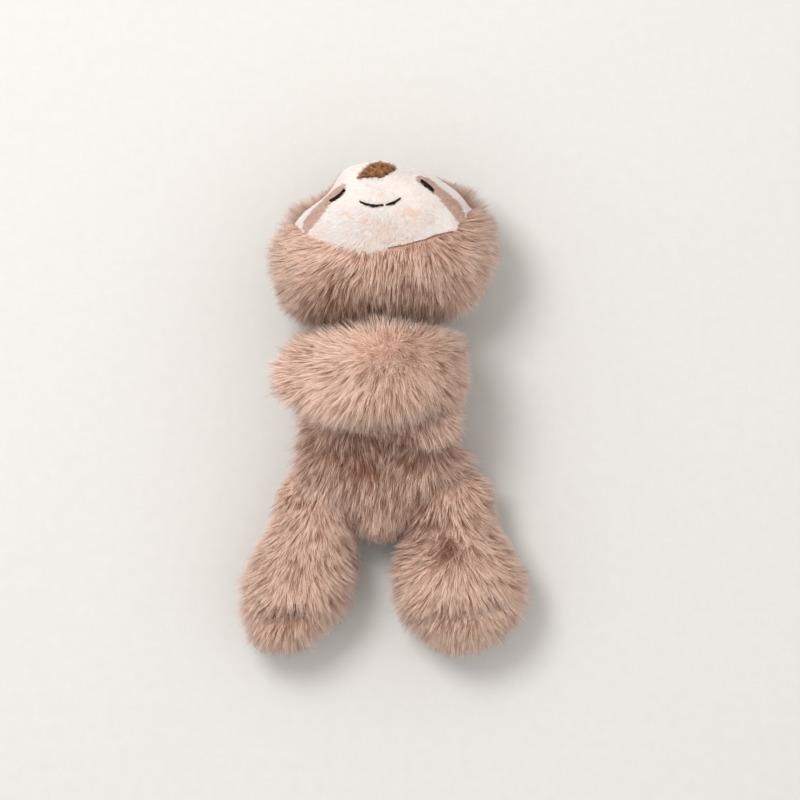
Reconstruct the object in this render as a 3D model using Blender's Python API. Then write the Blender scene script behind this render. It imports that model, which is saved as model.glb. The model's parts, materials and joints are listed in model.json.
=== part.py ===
"""A plush sloth lying on its back with its arms crossed over its chest.

The toy rests on the plane where Z is zero. X runs to the toy's own left, Y runs from the feet
towards the head, and Z runs up out of the belly. All sizes are in metres.
"""

import math

import bmesh
import bpy
from mathutils import Matrix, Vector

# Cloth, pile and thread
cloth_thickness = 0.001
fur_depth = 0.0065
face_depth = 0.0028
fit_gap = 0.0003
lining_gap = 0.0008
flat_depth = 0.0005
table_reach = 0.250
table_depth = 0.020
thread_radius = 0.00055
thread_clearance = 0.0005
skin_wall = cloth_thickness + fur_depth
socket_room = 2 * (thread_radius + thread_clearance)

# How finely each form is cut into faces
body_around = 24
hollow_around = 16
head_around = 28
head_hollow_around = 18
leg_around = 18
arm_around = 16
limb_steps = 10
hollow_steps = 6
socket_around = 22
socket_wall_around = 16
seam_steps = 28
seam_sides = 5
root_rings = 4
skin_tip_rings = 4
hollow_tip_rings = 3
face_cut_around = 48
band_steps = 12
band_around = 10
eye_steps = 8
mouth_steps = 14
thread_around = 6
nose_around = 20
search_steps = 40
merge_distance = 0.000001

# Body
body_length = 0.120
body_half_width = 0.0465
body_half_height = 0.0302
neck_side = 0.001
neck_along_share = 0.4833
neck_height_share = 1.1258
neck_ball = 0.023
neck_opening = 0.009
neck_opening_share = 0.9
neck_seam_share = 0.92
neck_pivot = Vector(
    (neck_side, body_length * neck_along_share, body_half_height * neck_height_share)
)

# Head
head_half_width = 0.0600
head_half_depth = 0.0395
head_half_height = 0.0425
head_side = 0.0008
neck_tuck = 0.006
head_centre = Vector(
    (
        neck_pivot.x + head_side,
        neck_pivot.y + head_half_depth + neck_tuck,
        head_half_height + fur_depth - flat_depth,
    )
)
snout_reach = 0.0135
head_tilt = math.radians(65)
head_roll = math.radians(6)
snout_drop = math.radians(-8)
snout_spread = math.radians(27)
face_half_width = 0.049
face_half_height = 0.040
face_drop = 0.005
face_corner_power = 3.0
face_cut_start = 0.004
face_cut_end = 0.090

# Face pieces, placed by how far they sit from the head's centre as seen from above
nose_forward = 0.0475
nose_half_width = 0.0105
nose_half_height = 0.0068
nose_thickness = 0.0022
nose_top_share = 0.18
mouth_half_width = 0.011
mouth_forward = 0.0263
mouth_rise = 0.0036
mouth_thread = 0.0008
eye_side = 0.0262
eye_forward = 0.0356
eye_half_length = 0.0050
eye_thread = 0.0009
eye_sag = 0.0011
eye_tilt = 0.0016
patch_half_width = 0.0044
patch_thickness = 0.0009
strip_end_share = 0.25
end_round_power = 6
patch_route_across = (0.0205, 0.0295, 0.0380, 0.0455)
patch_route_forward = (0.0415, 0.0375, 0.0300, 0.0180)

# Limbs: how their round roots, tips and level sides are made
root_opening_share = 0.4
opening_share = 0.7
root_turn = math.radians(16)
tip_share = 0.32
steep_share = 0.35
level_pull_share = 4
limb_seam_share = 0.6

# Legs
leg_length = 0.100
hip_across_share = 0.8495
hip_along_share = -0.3667
hip_height_share = 0.28
hip_ball = 0.0225
hip_seam_line = Vector((-0.75, 0.66, 0))

# Arms
arm_length = 0.100
left_shoulder_share = 0.7634
right_shoulder_share = 0.7957
shoulder_along_share = 0.3333
left_shoulder_depth = 0.0184
right_shoulder_depth = 0.0204
shoulder_ball = 0.0165
shoulder_seam_line = Vector((-0.82, 0, -0.57))


def clear_scene():
    for found in list(bpy.data.objects):
        bpy.data.objects.remove(found, do_unlink=True)


clear_scene()

parts = bpy.data.collections.new("plush_sloth")
cutters = bpy.data.collections.new("plush_sloth_cutters")
bpy.context.scene.collection.children.link(parts)
bpy.context.scene.collection.children.link(cutters)
cutters.hide_render = True


def material(name, colour, roughness):
    made = bpy.data.materials.new(name)
    made.use_nodes = True
    shader = made.node_tree.nodes["Principled BSDF"]
    shader.inputs["Base Color"].default_value = (*colour, 1.0)
    shader.inputs["Roughness"].default_value = roughness
    return made


fur_cloth = material("taupe_fur_cloth", (0.42, 0.34, 0.27), 0.95)
face_cloth = material("cream_face_cloth", (0.80, 0.74, 0.64), 0.95)
patch_cloth = material("mauve_eye_cloth", (0.46, 0.37, 0.36), 0.95)
nose_cloth = material("brown_nose_cloth", (0.17, 0.10, 0.07), 0.95)
dark_thread = material("dark_brown_thread", (0.06, 0.035, 0.025), 0.7)
seam_thread = material("taupe_seam_thread", (0.36, 0.30, 0.25), 0.8)
fibre = material("white_fibre_filling", (0.90, 0.90, 0.88), 1.0)


def as_part(mesh, name, surface, pivot):
    """Turns a mesh into a part, smooth shaded, with its origin on the pivot it moves about."""
    mesh.normal_update()
    bmesh.ops.recalc_face_normals(mesh, faces=mesh.faces)
    data = bpy.data.meshes.new(name)
    bmesh.ops.translate(mesh, vec=-pivot, verts=mesh.verts)
    mesh.to_mesh(data)
    mesh.free()
    data.polygons.foreach_set("use_smooth", [True] * len(data.polygons))
    made = bpy.data.objects.new(name, data)
    made.location = pivot
    if surface is None:
        cutters.objects.link(made)
        made.display_type = "WIRE"
        made.hide_render = True
    else:
        data.materials.append(surface)
        parts.objects.link(made)
    return made


def cut(target, cutter, title):
    """Takes one solid out of another with an exact Boolean."""
    step = target.modifiers.new(title, "BOOLEAN")
    step.operation = "DIFFERENCE"
    step.solver = "EXACT"
    step.object = cutter


def keep_inside(target, cutter, title):
    """Keeps only what lies inside the cutter."""
    step = target.modifiers.new(title, "BOOLEAN")
    step.operation = "INTERSECT"
    step.solver = "EXACT"
    step.object = cutter


def ball(name, centre, radius, around, surface=None):
    mesh = bmesh.new()
    bmesh.ops.create_uvsphere(mesh, u_segments=around, v_segments=around // 2, radius=radius)
    bmesh.ops.translate(mesh, vec=centre, verts=mesh.verts)
    return as_part(mesh, name, surface, centre)


def skin_rings(mesh, rings, close_start, close_end):
    """Joins rings of points, all of one count, into a tube, closing an end to its mean point."""
    rows = [[mesh.verts.new(point) for point in ring] for ring in rings]
    count = len(rows[0])
    for near, far in zip(rows[:-1], rows[1:]):
        for place in range(count):
            after = (place + 1) % count
            mesh.faces.new((near[place], near[after], far[after], far[place]))
    for wanted, row in ((close_start, rows[0]), (close_end, rows[-1])):
        if wanted:
            middle = sum((vert.co for vert in row), Vector()) / count
            tip = mesh.verts.new(middle)
            for place in range(count):
                mesh.faces.new((row[place], row[(place + 1) % count], tip))
    return rows


def section(centre, across, up, half_across, half_up, count):
    """One oval ring of points about a centre."""
    ring = []
    for step in range(count):
        turn = 2 * math.pi * (step + 0.5) / count
        sideways = across * (half_across * math.cos(turn))
        ring.append(centre + sideways + up * (half_up * math.sin(turn)))
    return ring


def smooth_station(table, place):
    """A row of the table at a place along it, read from a smooth curve through its rows."""
    last = len(table) - 1
    low = min(int(place), last - 1)
    share = place - low
    picks = [max(low - 1, 0), low, low + 1, min(low + 2, last)]
    before, start, end, after = (table[pick] for pick in picks)
    row = []
    for a, b, c, d in zip(before, start, end, after):
        bend = 2 * b + (c - a) * share + (2 * a - 5 * b + 4 * c - d) * share**2
        bend += (3 * b - a - 3 * c + d) * share**3
        row.append(bend / 2)
    return row


def limb_rings(pivot, radius, shares, length, inset, opening, count, steps, tip_rings):
    """Rings of a limb: a round root about the pivot, its swelling length, then a round end.

    Each row of shares is a station: its centre from the pivot, its half width and half height.
    """
    table = [(0, 0, 0, radius, radius)]
    for row in shares:
        table.append([length * share for share in row])
    stations = []
    for step in range(steps + 1):
        stations.append(smooth_station(table, (len(table) - 1) * step / steps))
    centres = [pivot + Vector(row[:3]) for row in stations]
    rings = []
    first = (centres[1] - centres[0]).normalized()
    widest = radius - inset
    across = first.cross(Vector((0, 0, 1)))
    if across.length < steep_share:
        across = Vector((0, 1, 0)) - first * first.y
    across.normalize()
    start = math.asin(min(opening / widest, 1)) if opening else root_turn
    for step in range(root_rings):
        turn = start + (math.pi / 2 - start) * step / root_rings
        middle = pivot - first * (widest * math.cos(turn))
        up = across.cross(first).normalized()
        size = widest * math.sin(turn)
        rings.append(section(middle, across, up, size, size, count))
    for step, row in enumerate(stations):
        ahead = centres[min(step + 1, steps)] - centres[max(step - 1, 0)]
        ahead = first if step == 0 else ahead.normalized()
        across = (across - ahead * across.dot(ahead)).normalized()
        level = Vector((0, 0, 1)).cross(ahead)
        if level.dot(across) < 0:
            level = -level
        across = (across + level * (level_pull_share * level.length**2)).normalized()
        up = across.cross(ahead).normalized()
        rings.append(section(centres[step], across, up, row[3] - inset, row[4] - inset, count))
    wide = stations[-1][3] - inset
    tall = stations[-1][4] - inset
    reach = (wide + tall) * tip_share
    for step in range(1, tip_rings):
        turn = math.pi / 2 * step / tip_rings
        middle = centres[-1] + ahead * (reach * math.sin(turn))
        rings.append(
            section(middle, across, up, wide * math.cos(turn), tall * math.cos(turn), count)
        )
    rings.append([centres[-1] + ahead * reach] * count)
    return rings


def close_tip(mesh, rings, close_start):
    """A tube whose last ring is one point, so its end is a fan instead of a fold."""
    tip_point = rings[-1][0]
    rows = skin_rings(mesh, rings[:-1], close_start, False)
    tip = mesh.verts.new(tip_point)
    last = rows[-1]
    for place in range(len(last)):
        mesh.faces.new((last[place], last[(place + 1) % len(last)], tip))
    return rows


def hold_above(mesh, level):
    """Lifts every point that lies below a level, so that the skin keeps its depth there."""
    for vert in mesh.verts:
        vert.co.z = max(vert.co.z, level)


def block(name, low, high):
    """A plain box between two corners."""
    mesh = bmesh.new()
    bmesh.ops.create_cube(mesh, size=1)
    for vert in mesh.verts:
        share = vert.co + Vector((0.5, 0.5, 0.5))
        vert.co = Vector(a + (b - a) * c for a, b, c in zip(low, high, share))
    return as_part(mesh, name, None, Vector((0, 0, 0)))


table_block = block(
    "cutter_table",
    (-table_reach, -table_reach, -table_depth),
    (table_reach, table_reach, 0),
)


def limb(side_name, pivot, radius, shares, length, count):
    """A limb of two parts: a fur cloth skin, open at its root, and the filling inside it."""
    opening = radius * root_opening_share
    mesh = bmesh.new()
    outer_rings = limb_rings(
        pivot, radius, shares, length, 0, opening, count, limb_steps, skin_tip_rings
    )
    outer = close_tip(mesh, outer_rings, False)
    narrow = opening * opening_share
    inner_rings = limb_rings(
        pivot, radius, shares, length, skin_wall, narrow, count, hollow_steps, hollow_tip_rings
    )
    inner = close_tip(mesh, inner_rings, False)
    for place in range(count):
        after = (place + 1) % count
        corners = (outer[0][place], outer[0][after], inner[0][after], inner[0][place])
        mesh.faces.new(corners)
    skin = as_part(mesh, side_name + "_skin", fur_cloth, pivot)
    cut(skin, table_block, "flat where it lies")
    mesh = bmesh.new()
    inset = skin_wall + lining_gap
    filling = limb_rings(
        pivot, radius, shares, length, inset, 0, count, hollow_steps, hollow_tip_rings
    )
    close_tip(mesh, filling, True)
    as_part(mesh, side_name + "_stuffing", fibre, pivot)


def seam_ring(name, pivot, axis, ball_radius, seam_radius):
    """A ring of stitching that lies in the room between a round root and its socket."""
    middle_radius = ball_radius + thread_radius + thread_clearance
    set_back = math.sqrt(middle_radius**2 - seam_radius**2)
    axis = axis.normalized()
    across = axis.cross(Vector((0, 0, 1))).normalized()
    up = across.cross(axis).normalized()
    rings = []
    for step in range(seam_steps):
        turn = 2 * math.pi * step / seam_steps
        outward = across * math.cos(turn) + up * math.sin(turn)
        middle = pivot + axis * set_back + outward * seam_radius
        rings.append(section(middle, outward, axis, thread_radius, thread_radius, seam_sides))
    mesh = bmesh.new()
    skin_rings(mesh, rings + [rings[0]], False, False)
    bmesh.ops.remove_doubles(mesh, verts=mesh.verts, dist=merge_distance)
    return as_part(mesh, name, seam_thread, pivot)


# Body: a pear of fur cloth with a round neck, and sockets where the head and limbs are sewn on
body_shares = (
    # place along the body, half width, half height and height of the centre
    (-0.546, 0.07, 0.16, 0.90),
    (-0.525, 0.15, 0.34, 0.92),
    (-0.479, 0.25, 0.58, 0.94),
    (-0.400, 0.40, 0.80, 0.96),
    (-0.300, 0.68, 0.93, 0.97),
    (-0.167, 0.92, 1.00, 0.98),
    (0.000, 1.00, 1.01, 0.99),
    (0.150, 0.94, 0.99, 0.98),
    (0.267, 0.82, 0.93, 0.98),
    (0.358, 0.71, 0.84, 1.00),
    (0.433, 0.60, 0.75, 1.04),
)
neck_turns = (6, 22, 38, 52, 64)


def body_rings(inset, count):
    """Rings of the body from the crotch to the round neck, drawn in by the inset."""
    right = Vector((1, 0, 0))
    front = Vector((0, 0, 1))
    rings = []
    for place, wide, tall, height in body_shares:
        half_wide = body_half_width * wide - inset
        half_tall = body_half_height * tall - inset
        if min(half_wide, half_tall) > inset / 4 + fit_gap:
            centre = Vector((0, body_length * place, body_half_height * height))
            rings.append(section(centre, right, front, half_wide, half_tall, count))
    for degrees in neck_turns:
        turn = math.radians(degrees)
        radius = neck_ball - inset
        centre = neck_pivot + Vector((0, radius * math.sin(turn), 0))
        size = radius * math.cos(turn)
        rings.append(section(centre, right, front, size, size, count))
    return rings


def body_solid(name, inset, count, reach, surface):
    """The body drawn in by the inset; a reach runs its neck on through the skin as an opening."""
    mesh = bmesh.new()
    rings = body_rings(inset, count)
    if reach:
        right = Vector((1, 0, 0))
        front = Vector((0, 0, 1))
        for along in (neck_ball * neck_opening_share, neck_ball + reach):
            centre = neck_pivot + Vector((0, along, 0))
            rings.append(section(centre, right, front, neck_opening, neck_opening, count))
    skin_rings(mesh, rings, True, True)
    hold_above(mesh, inset - flat_depth)
    return as_part(mesh, name, surface, neck_pivot)


hip_across = body_half_width * hip_across_share
hip_along = body_length * hip_along_share
hip_height = leg_length * hip_height_share
left_hip = Vector((hip_across, hip_along, hip_height))
right_hip = Vector((-hip_across, hip_along, hip_height))
body_top = 2 * body_half_height
shoulder_along = body_length * shoulder_along_share
left_shoulder = Vector(
    (body_half_width * left_shoulder_share, shoulder_along, body_top - left_shoulder_depth)
)
right_shoulder = Vector(
    (-body_half_width * right_shoulder_share, shoulder_along, body_top - right_shoulder_depth)
)
sockets = (
    ("left_hip", left_hip, hip_ball),
    ("right_hip", right_hip, hip_ball),
    ("left_shoulder", left_shoulder, shoulder_ball),
    ("right_shoulder", right_shoulder, shoulder_ball),
)

body_skin = body_solid("body_skin", 0, body_around, 0, fur_cloth)
body_hollow = body_solid("cutter_body_hollow", skin_wall, hollow_around, neck_ball, None)
body_stuffing = body_solid("body_stuffing", skin_wall + lining_gap, hollow_around, 0, fibre)
for socket_name, centre, radius in sockets:
    room = radius + socket_room
    outer = ball("cutter_socket_" + socket_name, centre, room, socket_around)
    wall = ball("cutter_wall_" + socket_name, centre, room + skin_wall, socket_wall_around)
    deep = room + skin_wall + lining_gap
    lining = ball("cutter_lining_" + socket_name, centre, deep, socket_wall_around)
    cut(body_skin, outer, "socket " + socket_name)
    cut(body_hollow, wall, "wall " + socket_name)
    cut(body_stuffing, lining, "lining " + socket_name)
cut(body_skin, body_hollow, "hollow")
cut(body_skin, table_block, "flat where it lies")

# Legs: short and stout, swelling towards round feet
left_leg_shares = (
    # centre from the hip along X, Y and Z, half width and half height, as shares of its length
    (0.020, -0.100, 0.000, 0.232, 0.230),
    (0.035, -0.230, 0.010, 0.295, 0.260),
    (0.055, -0.380, 0.015, 0.355, 0.292),
    (0.070, -0.520, 0.015, 0.370, 0.300),
    (0.085, -0.630, 0.010, 0.330, 0.285),
    (0.090, -0.720, 0.000, 0.260, 0.240),
)
right_leg_shares = (
    (-0.010, -0.100, 0.000, 0.228, 0.230),
    (-0.035, -0.230, 0.010, 0.265, 0.260),
    (-0.080, -0.380, 0.015, 0.310, 0.292),
    (-0.125, -0.520, 0.015, 0.320, 0.300),
    (-0.150, -0.630, 0.010, 0.285, 0.285),
    (-0.160, -0.720, 0.000, 0.225, 0.240),
)
limb("left_leg", left_hip, hip_ball, left_leg_shares, leg_length, leg_around)
limb("right_leg", right_hip, hip_ball, right_leg_shares, leg_length, leg_around)

# Arms: the toy's left arm lies over its right arm, both across the chest
left_arm_shares = (
    (0.030, -0.005, 0.140, 0.175, 0.160),
    (0.020, -0.015, 0.290, 0.195, 0.145),
    (-0.060, -0.025, 0.445, 0.220, 0.125),
    (-0.230, -0.035, 0.570, 0.235, 0.120),
    (-0.440, -0.045, 0.595, 0.235, 0.120),
    (-0.640, -0.065, 0.580, 0.225, 0.120),
    (-0.800, -0.085, 0.540, 0.190, 0.118),
    (-0.890, -0.100, 0.500, 0.130, 0.095),
)
right_arm_shares = (
    (-0.020, -0.010, 0.120, 0.165, 0.160),
    (0.000, -0.070, 0.240, 0.175, 0.125),
    (0.110, -0.200, 0.320, 0.175, 0.098),
    (0.290, -0.280, 0.345, 0.168, 0.090),
    (0.480, -0.325, 0.345, 0.160, 0.090),
    (0.650, -0.355, 0.325, 0.150, 0.092),
    (0.770, -0.370, 0.295, 0.115, 0.088),
)
limb("left_arm", left_shoulder, shoulder_ball, left_arm_shares, arm_length, arm_around)
limb("right_arm", right_shoulder, shoulder_ball, right_arm_shares, arm_length, arm_around)

# Head: a wide round ball of fur cloth with a cream face that swells into a snout
roll = Matrix.Rotation(head_roll, 3, "Z")
side_axis = roll @ Vector((1, 0, 0))
face_axis = roll @ Vector((0, math.sin(head_tilt), math.cos(head_tilt)))
crown_axis = side_axis.cross(face_axis)
snout_axis = (face_axis * math.cos(snout_drop) + crown_axis * math.sin(snout_drop)).normalized()
across_axis = side_axis
along_axis = roll @ Vector((0, 1, 0))
up_axis = Vector((0, 0, 1))


def head_radius(way):
    """How far the cloth lies from the head's centre along a unit direction."""
    round_part = (
        (way.dot(across_axis) / head_half_width) ** 2
        + (way.dot(along_axis) / head_half_depth) ** 2
        + (way.dot(up_axis) / head_half_height) ** 2
    )
    away = math.acos(max(-1, min(1, way.dot(snout_axis))))
    return 1 / math.sqrt(round_part) + snout_reach * math.exp(-((away / snout_spread) ** 2))


def head_solid(name, lift, around, surface):
    """The head as a closed ball, its surface lifted off the cloth by the given depth."""
    mesh = bmesh.new()
    bmesh.ops.create_uvsphere(mesh, u_segments=around, v_segments=around * 2 // 3, radius=1)
    turned = Matrix((across_axis, crown_axis, face_axis)).transposed()
    for vert in mesh.verts:
        way = (turned @ vert.co).normalized()
        vert.co = head_centre + way * (head_radius(way) + lift)
    hold_above(mesh, fur_depth - lift - flat_depth)
    return as_part(mesh, name, surface, neck_pivot)


def face_prism(name, grow):
    """A block along the face's direction with the rounded outline of the cream face."""
    rings = []
    for reach in (face_cut_start, face_cut_end):
        ring = []
        for step in range(face_cut_around):
            turn = 2 * math.pi * step / face_cut_around
            flat = abs(math.cos(turn) / (face_half_width + grow)) ** face_corner_power
            tall = abs(math.sin(turn) / (face_half_height + grow)) ** face_corner_power
            size = (flat + tall) ** (-1 / face_corner_power)
            x = size * math.cos(turn)
            y = size * math.sin(turn) - face_drop
            ring.append(head_centre + side_axis * x + crown_axis * y + face_axis * reach)
        rings.append(ring)
    mesh = bmesh.new()
    skin_rings(mesh, rings, True, True)
    return as_part(mesh, name, None, neck_pivot)


head_skin = head_solid("head_skin", fur_depth, head_around, fur_cloth)
head_hollow = head_solid("cutter_head_hollow", -cloth_thickness, head_hollow_around, None)
filling_lift = -cloth_thickness - lining_gap
head_stuffing = head_solid("head_stuffing", filling_lift, head_hollow_around, fibre)
face_panel = head_solid("face_panel", face_depth, head_around, face_cloth)
neck_room = neck_ball + socket_room
cut(head_skin, ball("cutter_neck_socket", neck_pivot, neck_room, socket_around), "neck socket")
neck_wall = ball("cutter_neck_wall", neck_pivot, neck_room + skin_wall, socket_wall_around)
cut(head_hollow, neck_wall, "neck wall")
neck_deep = neck_room + skin_wall + lining_gap
neck_lining = ball("cutter_neck_lining", neck_pivot, neck_deep, socket_wall_around)
cut(head_stuffing, neck_lining, "neck lining")
cut(head_skin, head_hollow, "hollow")
cut(head_skin, table_block, "flat where it lies")
cut(head_skin, face_prism("cutter_face_opening", fit_gap / 2), "face opening")
keep_inside(face_panel, face_prism("cutter_face_outline", -fit_gap / 2), "face outline")
cut(face_panel, head_hollow, "hollow")


def on_face(near, lift):
    """The point of the face's surface in line with a point, seen from the head's centre."""
    way = (near - head_centre).normalized()
    return head_centre + way * (head_radius(way) + face_depth + lift)


def seen_at(side, forward):
    """The point of the face's surface at a place as seen from above."""
    low = 0
    high = 2 * head_half_height + snout_reach
    flat = head_centre + across_axis * side + along_axis * forward
    for _ in range(search_steps):
        middle = (low + high) / 2
        point = flat + up_axis * middle
        way = point - head_centre
        if way.length > head_radius(way.normalized()) + face_depth:
            high = middle
        else:
            low = middle
    return flat + up_axis * low


def strip(name, route, half_width, half_thickness, base, around, surface):
    """A band or a thread that lies on the face along a route, rounded at both ends."""
    ends = len(route) - 1
    rings = []
    for step, spot in enumerate(route):
        ahead = (route[min(step + 1, ends)] - route[max(step - 1, 0)]).normalized()
        outward = (spot - head_centre).normalized()
        sideways = ahead.cross(outward).normalized()
        fade = math.sqrt(max(0, 1 - abs(2 * step / ends - 1) ** end_round_power))
        fade = max(fade, strip_end_share)
        ring = []
        for turn_step in range(around):
            turn = 2 * math.pi * turn_step / around
            offset = half_width * fade * math.cos(turn)
            lift = base + half_thickness * (1 + fade * math.sin(turn))
            ring.append(on_face(spot + sideways * offset, lift))
        rings.append(ring)
    mesh = bmesh.new()
    skin_rings(mesh, rings, True, True)
    return as_part(mesh, name, surface, neck_pivot)


# Face pieces: eye bands, stitched eyes and mouth, and a soft nose
band_route_shape = list(zip(patch_route_across, patch_route_forward))
for side_name, side in (("left", 1), ("right", -1)):
    band_route = []
    for step in range(band_steps + 1):
        place = (len(band_route_shape) - 1) * step / band_steps
        across, forward = smooth_station(band_route_shape, place)
        band_route.append(seen_at(side * across, forward))
    strip(
        side_name + "_eye_band",
        band_route,
        patch_half_width,
        patch_thickness / 2,
        fit_gap,
        band_around,
        patch_cloth,
    )
    eye_route = []
    for step in range(eye_steps + 1):
        share = 2 * step / eye_steps - 1
        across = side * (eye_side + share * eye_half_length)
        forward = eye_forward - share * eye_tilt - eye_sag * (1 - share**2)
        eye_route.append(seen_at(across, forward))
    strip(
        side_name + "_eye_stitching",
        eye_route,
        eye_thread,
        eye_thread / 2,
        fit_gap,
        thread_around,
        dark_thread,
    )

mouth_route = []
for step in range(mouth_steps + 1):
    share = 2 * step / mouth_steps - 1
    forward = mouth_forward + mouth_rise * share**2
    mouth_route.append(seen_at(share * mouth_half_width, forward))
strip(
    "mouth_stitching",
    mouth_route,
    mouth_thread,
    mouth_thread / 2,
    fit_gap,
    thread_around,
    dark_thread,
)

nose_rings = []
nose_middle = seen_at(0, nose_forward)
nose_out = (nose_middle - head_centre).normalized()
nose_up = (crown_axis - nose_out * crown_axis.dot(nose_out)).normalized()
nose_profile = (
    # share of the outline, share of the thickness
    (0.55, 0.00),
    (0.96, 0.00),
    (1.00, 0.25),
    (0.93, 0.60),
    (0.72, 0.88),
    (0.38, 1.00),
)
for spread, height in nose_profile:
    ring = []
    for step in range(nose_around):
        turn = 2 * math.pi * step / nose_around
        widen = 1 + nose_top_share * math.sin(turn)
        near = nose_middle + side_axis * (nose_half_width * widen * spread * math.cos(turn))
        near = near + nose_up * (nose_half_height * spread * math.sin(turn))
        ring.append(on_face(near, fit_gap + nose_thickness * height))
    nose_rings.append(ring)
nose_mesh = bmesh.new()
skin_rings(nose_mesh, nose_rings, True, True)
as_part(nose_mesh, "nose", nose_cloth, neck_pivot)

# Stitching round the neck and limbs
neck_line = Vector((0, 1, 0))
seam_ring("neck_seam", neck_pivot, neck_line, neck_ball, neck_ball * neck_seam_share)
for socket_name, centre, radius in sockets:
    inward = shoulder_seam_line.copy()
    if "hip" in socket_name:
        inward = hip_seam_line.copy()
    inward.x = math.copysign(inward.x, -centre.x)
    seam_ring(socket_name + "_seam", centre, inward, radius, radius * limb_seam_share)
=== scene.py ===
# %% [markdown]
# # A plush sloth
# The toy is a handful of sewn bags: a torso, a head, two arms and two legs, each cut from fur cloth
# and stuffed. The head has a cream face with stitched eyes and mouth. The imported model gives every
# bag its place and size, and this script dresses it: it makes the cloth of each bag, then plants and
# combs its pile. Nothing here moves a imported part.

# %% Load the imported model
import json
import math

import bmesh
import bpy
import numpy as np
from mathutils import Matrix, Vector
from mathutils.bvhtree import BVHTree
from mathutils.kdtree import KDTree


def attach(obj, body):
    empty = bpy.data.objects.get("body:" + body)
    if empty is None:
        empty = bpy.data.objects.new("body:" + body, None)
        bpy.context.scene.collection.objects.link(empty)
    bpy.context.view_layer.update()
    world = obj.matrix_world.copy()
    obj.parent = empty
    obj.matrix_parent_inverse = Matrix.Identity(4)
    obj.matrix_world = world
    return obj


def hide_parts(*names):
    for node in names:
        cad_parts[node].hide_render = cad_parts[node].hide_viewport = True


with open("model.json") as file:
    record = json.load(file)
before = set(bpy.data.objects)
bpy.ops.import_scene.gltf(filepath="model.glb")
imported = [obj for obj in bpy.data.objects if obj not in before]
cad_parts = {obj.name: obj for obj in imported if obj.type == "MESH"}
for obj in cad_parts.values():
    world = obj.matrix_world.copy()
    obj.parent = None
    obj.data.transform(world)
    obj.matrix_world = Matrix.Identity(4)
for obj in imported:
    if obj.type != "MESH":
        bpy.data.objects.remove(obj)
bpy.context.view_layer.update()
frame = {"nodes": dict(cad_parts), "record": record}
millimetre = 0.001

# %% [markdown]
# The photograph looks straight down on the toy, so the camera hangs over it and looks along minus Z.
# A long lens from far up keeps the parts that stand higher from looking larger than they are. The
# photograph's own pixels are a handy way to say where on the toy something lies, so a small function
# turns a pixel into metres.

# %% Camera over the toy
photo_side = 800
pixel_size = 0.58 * millimetre
origin_pixel = (381, 430)
sensor_width = 36
camera_height = 5.0
middle_height = 0.045


def from_photo(across, down):
    """The place in metres, as X and Y, of a pixel of the photograph."""
    x = (np.asarray(across, float) - origin_pixel[0]) * pixel_size
    y = (origin_pixel[1] - np.asarray(down, float)) * pixel_size
    return x, y


camera_x, camera_y = from_photo(photo_side / 2, photo_side / 2)
view_width = photo_side * pixel_size
lens_data = bpy.data.cameras.new("camera")
lens_data.sensor_width = sensor_width
lens_data.lens = sensor_width * (camera_height - middle_height) / view_width
camera = bpy.data.objects.new("camera", lens_data)
camera.location = (camera_x, camera_y, camera_height)
bpy.context.scene.collection.objects.link(camera)
bpy.context.scene.camera = camera
print("lens", round(lens_data.lens, 1), "mm")

# %% [markdown]
# Shader maths reads best as plain arithmetic. A Wire holds one output of a node, and the arithmetic
# signs on it add Math nodes. A Shader makes every other node with one method: settings go in first,
# because they decide which sockets a node has, and then values or Wires go to its sockets.

# %% Shader maths as expressions
class Wire:
    """One output of a node. Arithmetic on it adds Math nodes."""

    def __init__(self, shader, socket):
        self.shader = shader
        self.socket = socket

    def maths(self, operation, first, second):
        return self.shader.node("Math", {"operation": operation}, {0: first, 1: second})

    def __add__(self, other):
        return self.maths("ADD", self, other)

    def __sub__(self, other):
        return self.maths("SUBTRACT", self, other)

    def __rsub__(self, other):
        return self.maths("SUBTRACT", other, self)

    def __mul__(self, other):
        return self.maths("MULTIPLY", self, other)

    __radd__ = __add__
    __rmul__ = __mul__

    def mix(self, low, high):
        """A colour between two others, with this value as the share of the second."""
        inputs = {0: self, 6: low, 7: high}
        return self.shader.node("Mix", {"data_type": "RGBA"}, inputs, 2)


class Shader:
    """A material whose nodes are written as expressions."""

    def __init__(self, name):
        self.material = bpy.data.materials.new(name)
        self.material.use_nodes = True
        self.tree = self.material.node_tree
        self.tree.nodes.clear()

    def node(self, kind, settings=(), inputs=(), output=0):
        made = self.tree.nodes.new("ShaderNode" + kind)
        for setting, value in dict(settings).items():
            if setting == "stops":
                stops = made.color_ramp.elements
                for place, colour in value[2:]:
                    stops.new(place)
                for stop, (place, colour) in zip(stops, sorted(value)):
                    stop.position = place
                    stop.color = colour
            else:
                setattr(made, setting, value)
        for place, value in dict(inputs).items():
            if isinstance(value, Wire):
                self.tree.links.new(value.socket, made.inputs[place])
            else:
                made.inputs[place].default_value = value
        return Wire(self, made.outputs[output])

    def finish(self, inputs):
        """Ends the material in a Principled shader with these sockets set or linked."""
        surface = self.node("BsdfPrincipled", {}, inputs)
        ending = self.tree.nodes.new("ShaderNodeOutputMaterial")
        self.tree.links.new(surface.socket, ending.inputs["Surface"])
        return self.material


print("made: Wire for one output of a node, Shader for one material")

# %% [markdown]
# Colours are picked on a screen, but shaders work with amounts of light. One function turns the one
# into the other, by the curve that screens use.

# %% Colours as picked on a screen
def linear(red, green, blue):
    """A colour as picked on a screen, from 0 to 255, in the linear values that shaders use."""
    picked = np.array((red, green, blue)) / 255
    steep = ((picked + 0.055) / 1.055) ** 2.4
    return tuple(float(value) for value in np.where(picked > 0.04045, steep, picked / 12.92)) + (1.0,)


print("middle grey of a screen:", round(linear(128, 128, 128)[0], 3))

# %% [markdown]
# The studio is a pale sheet with one large soft lamp at the upper left, as the photograph's shadows
# say, and a pale sky that fills them. The sheet's colour is what makes the background pale.

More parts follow.
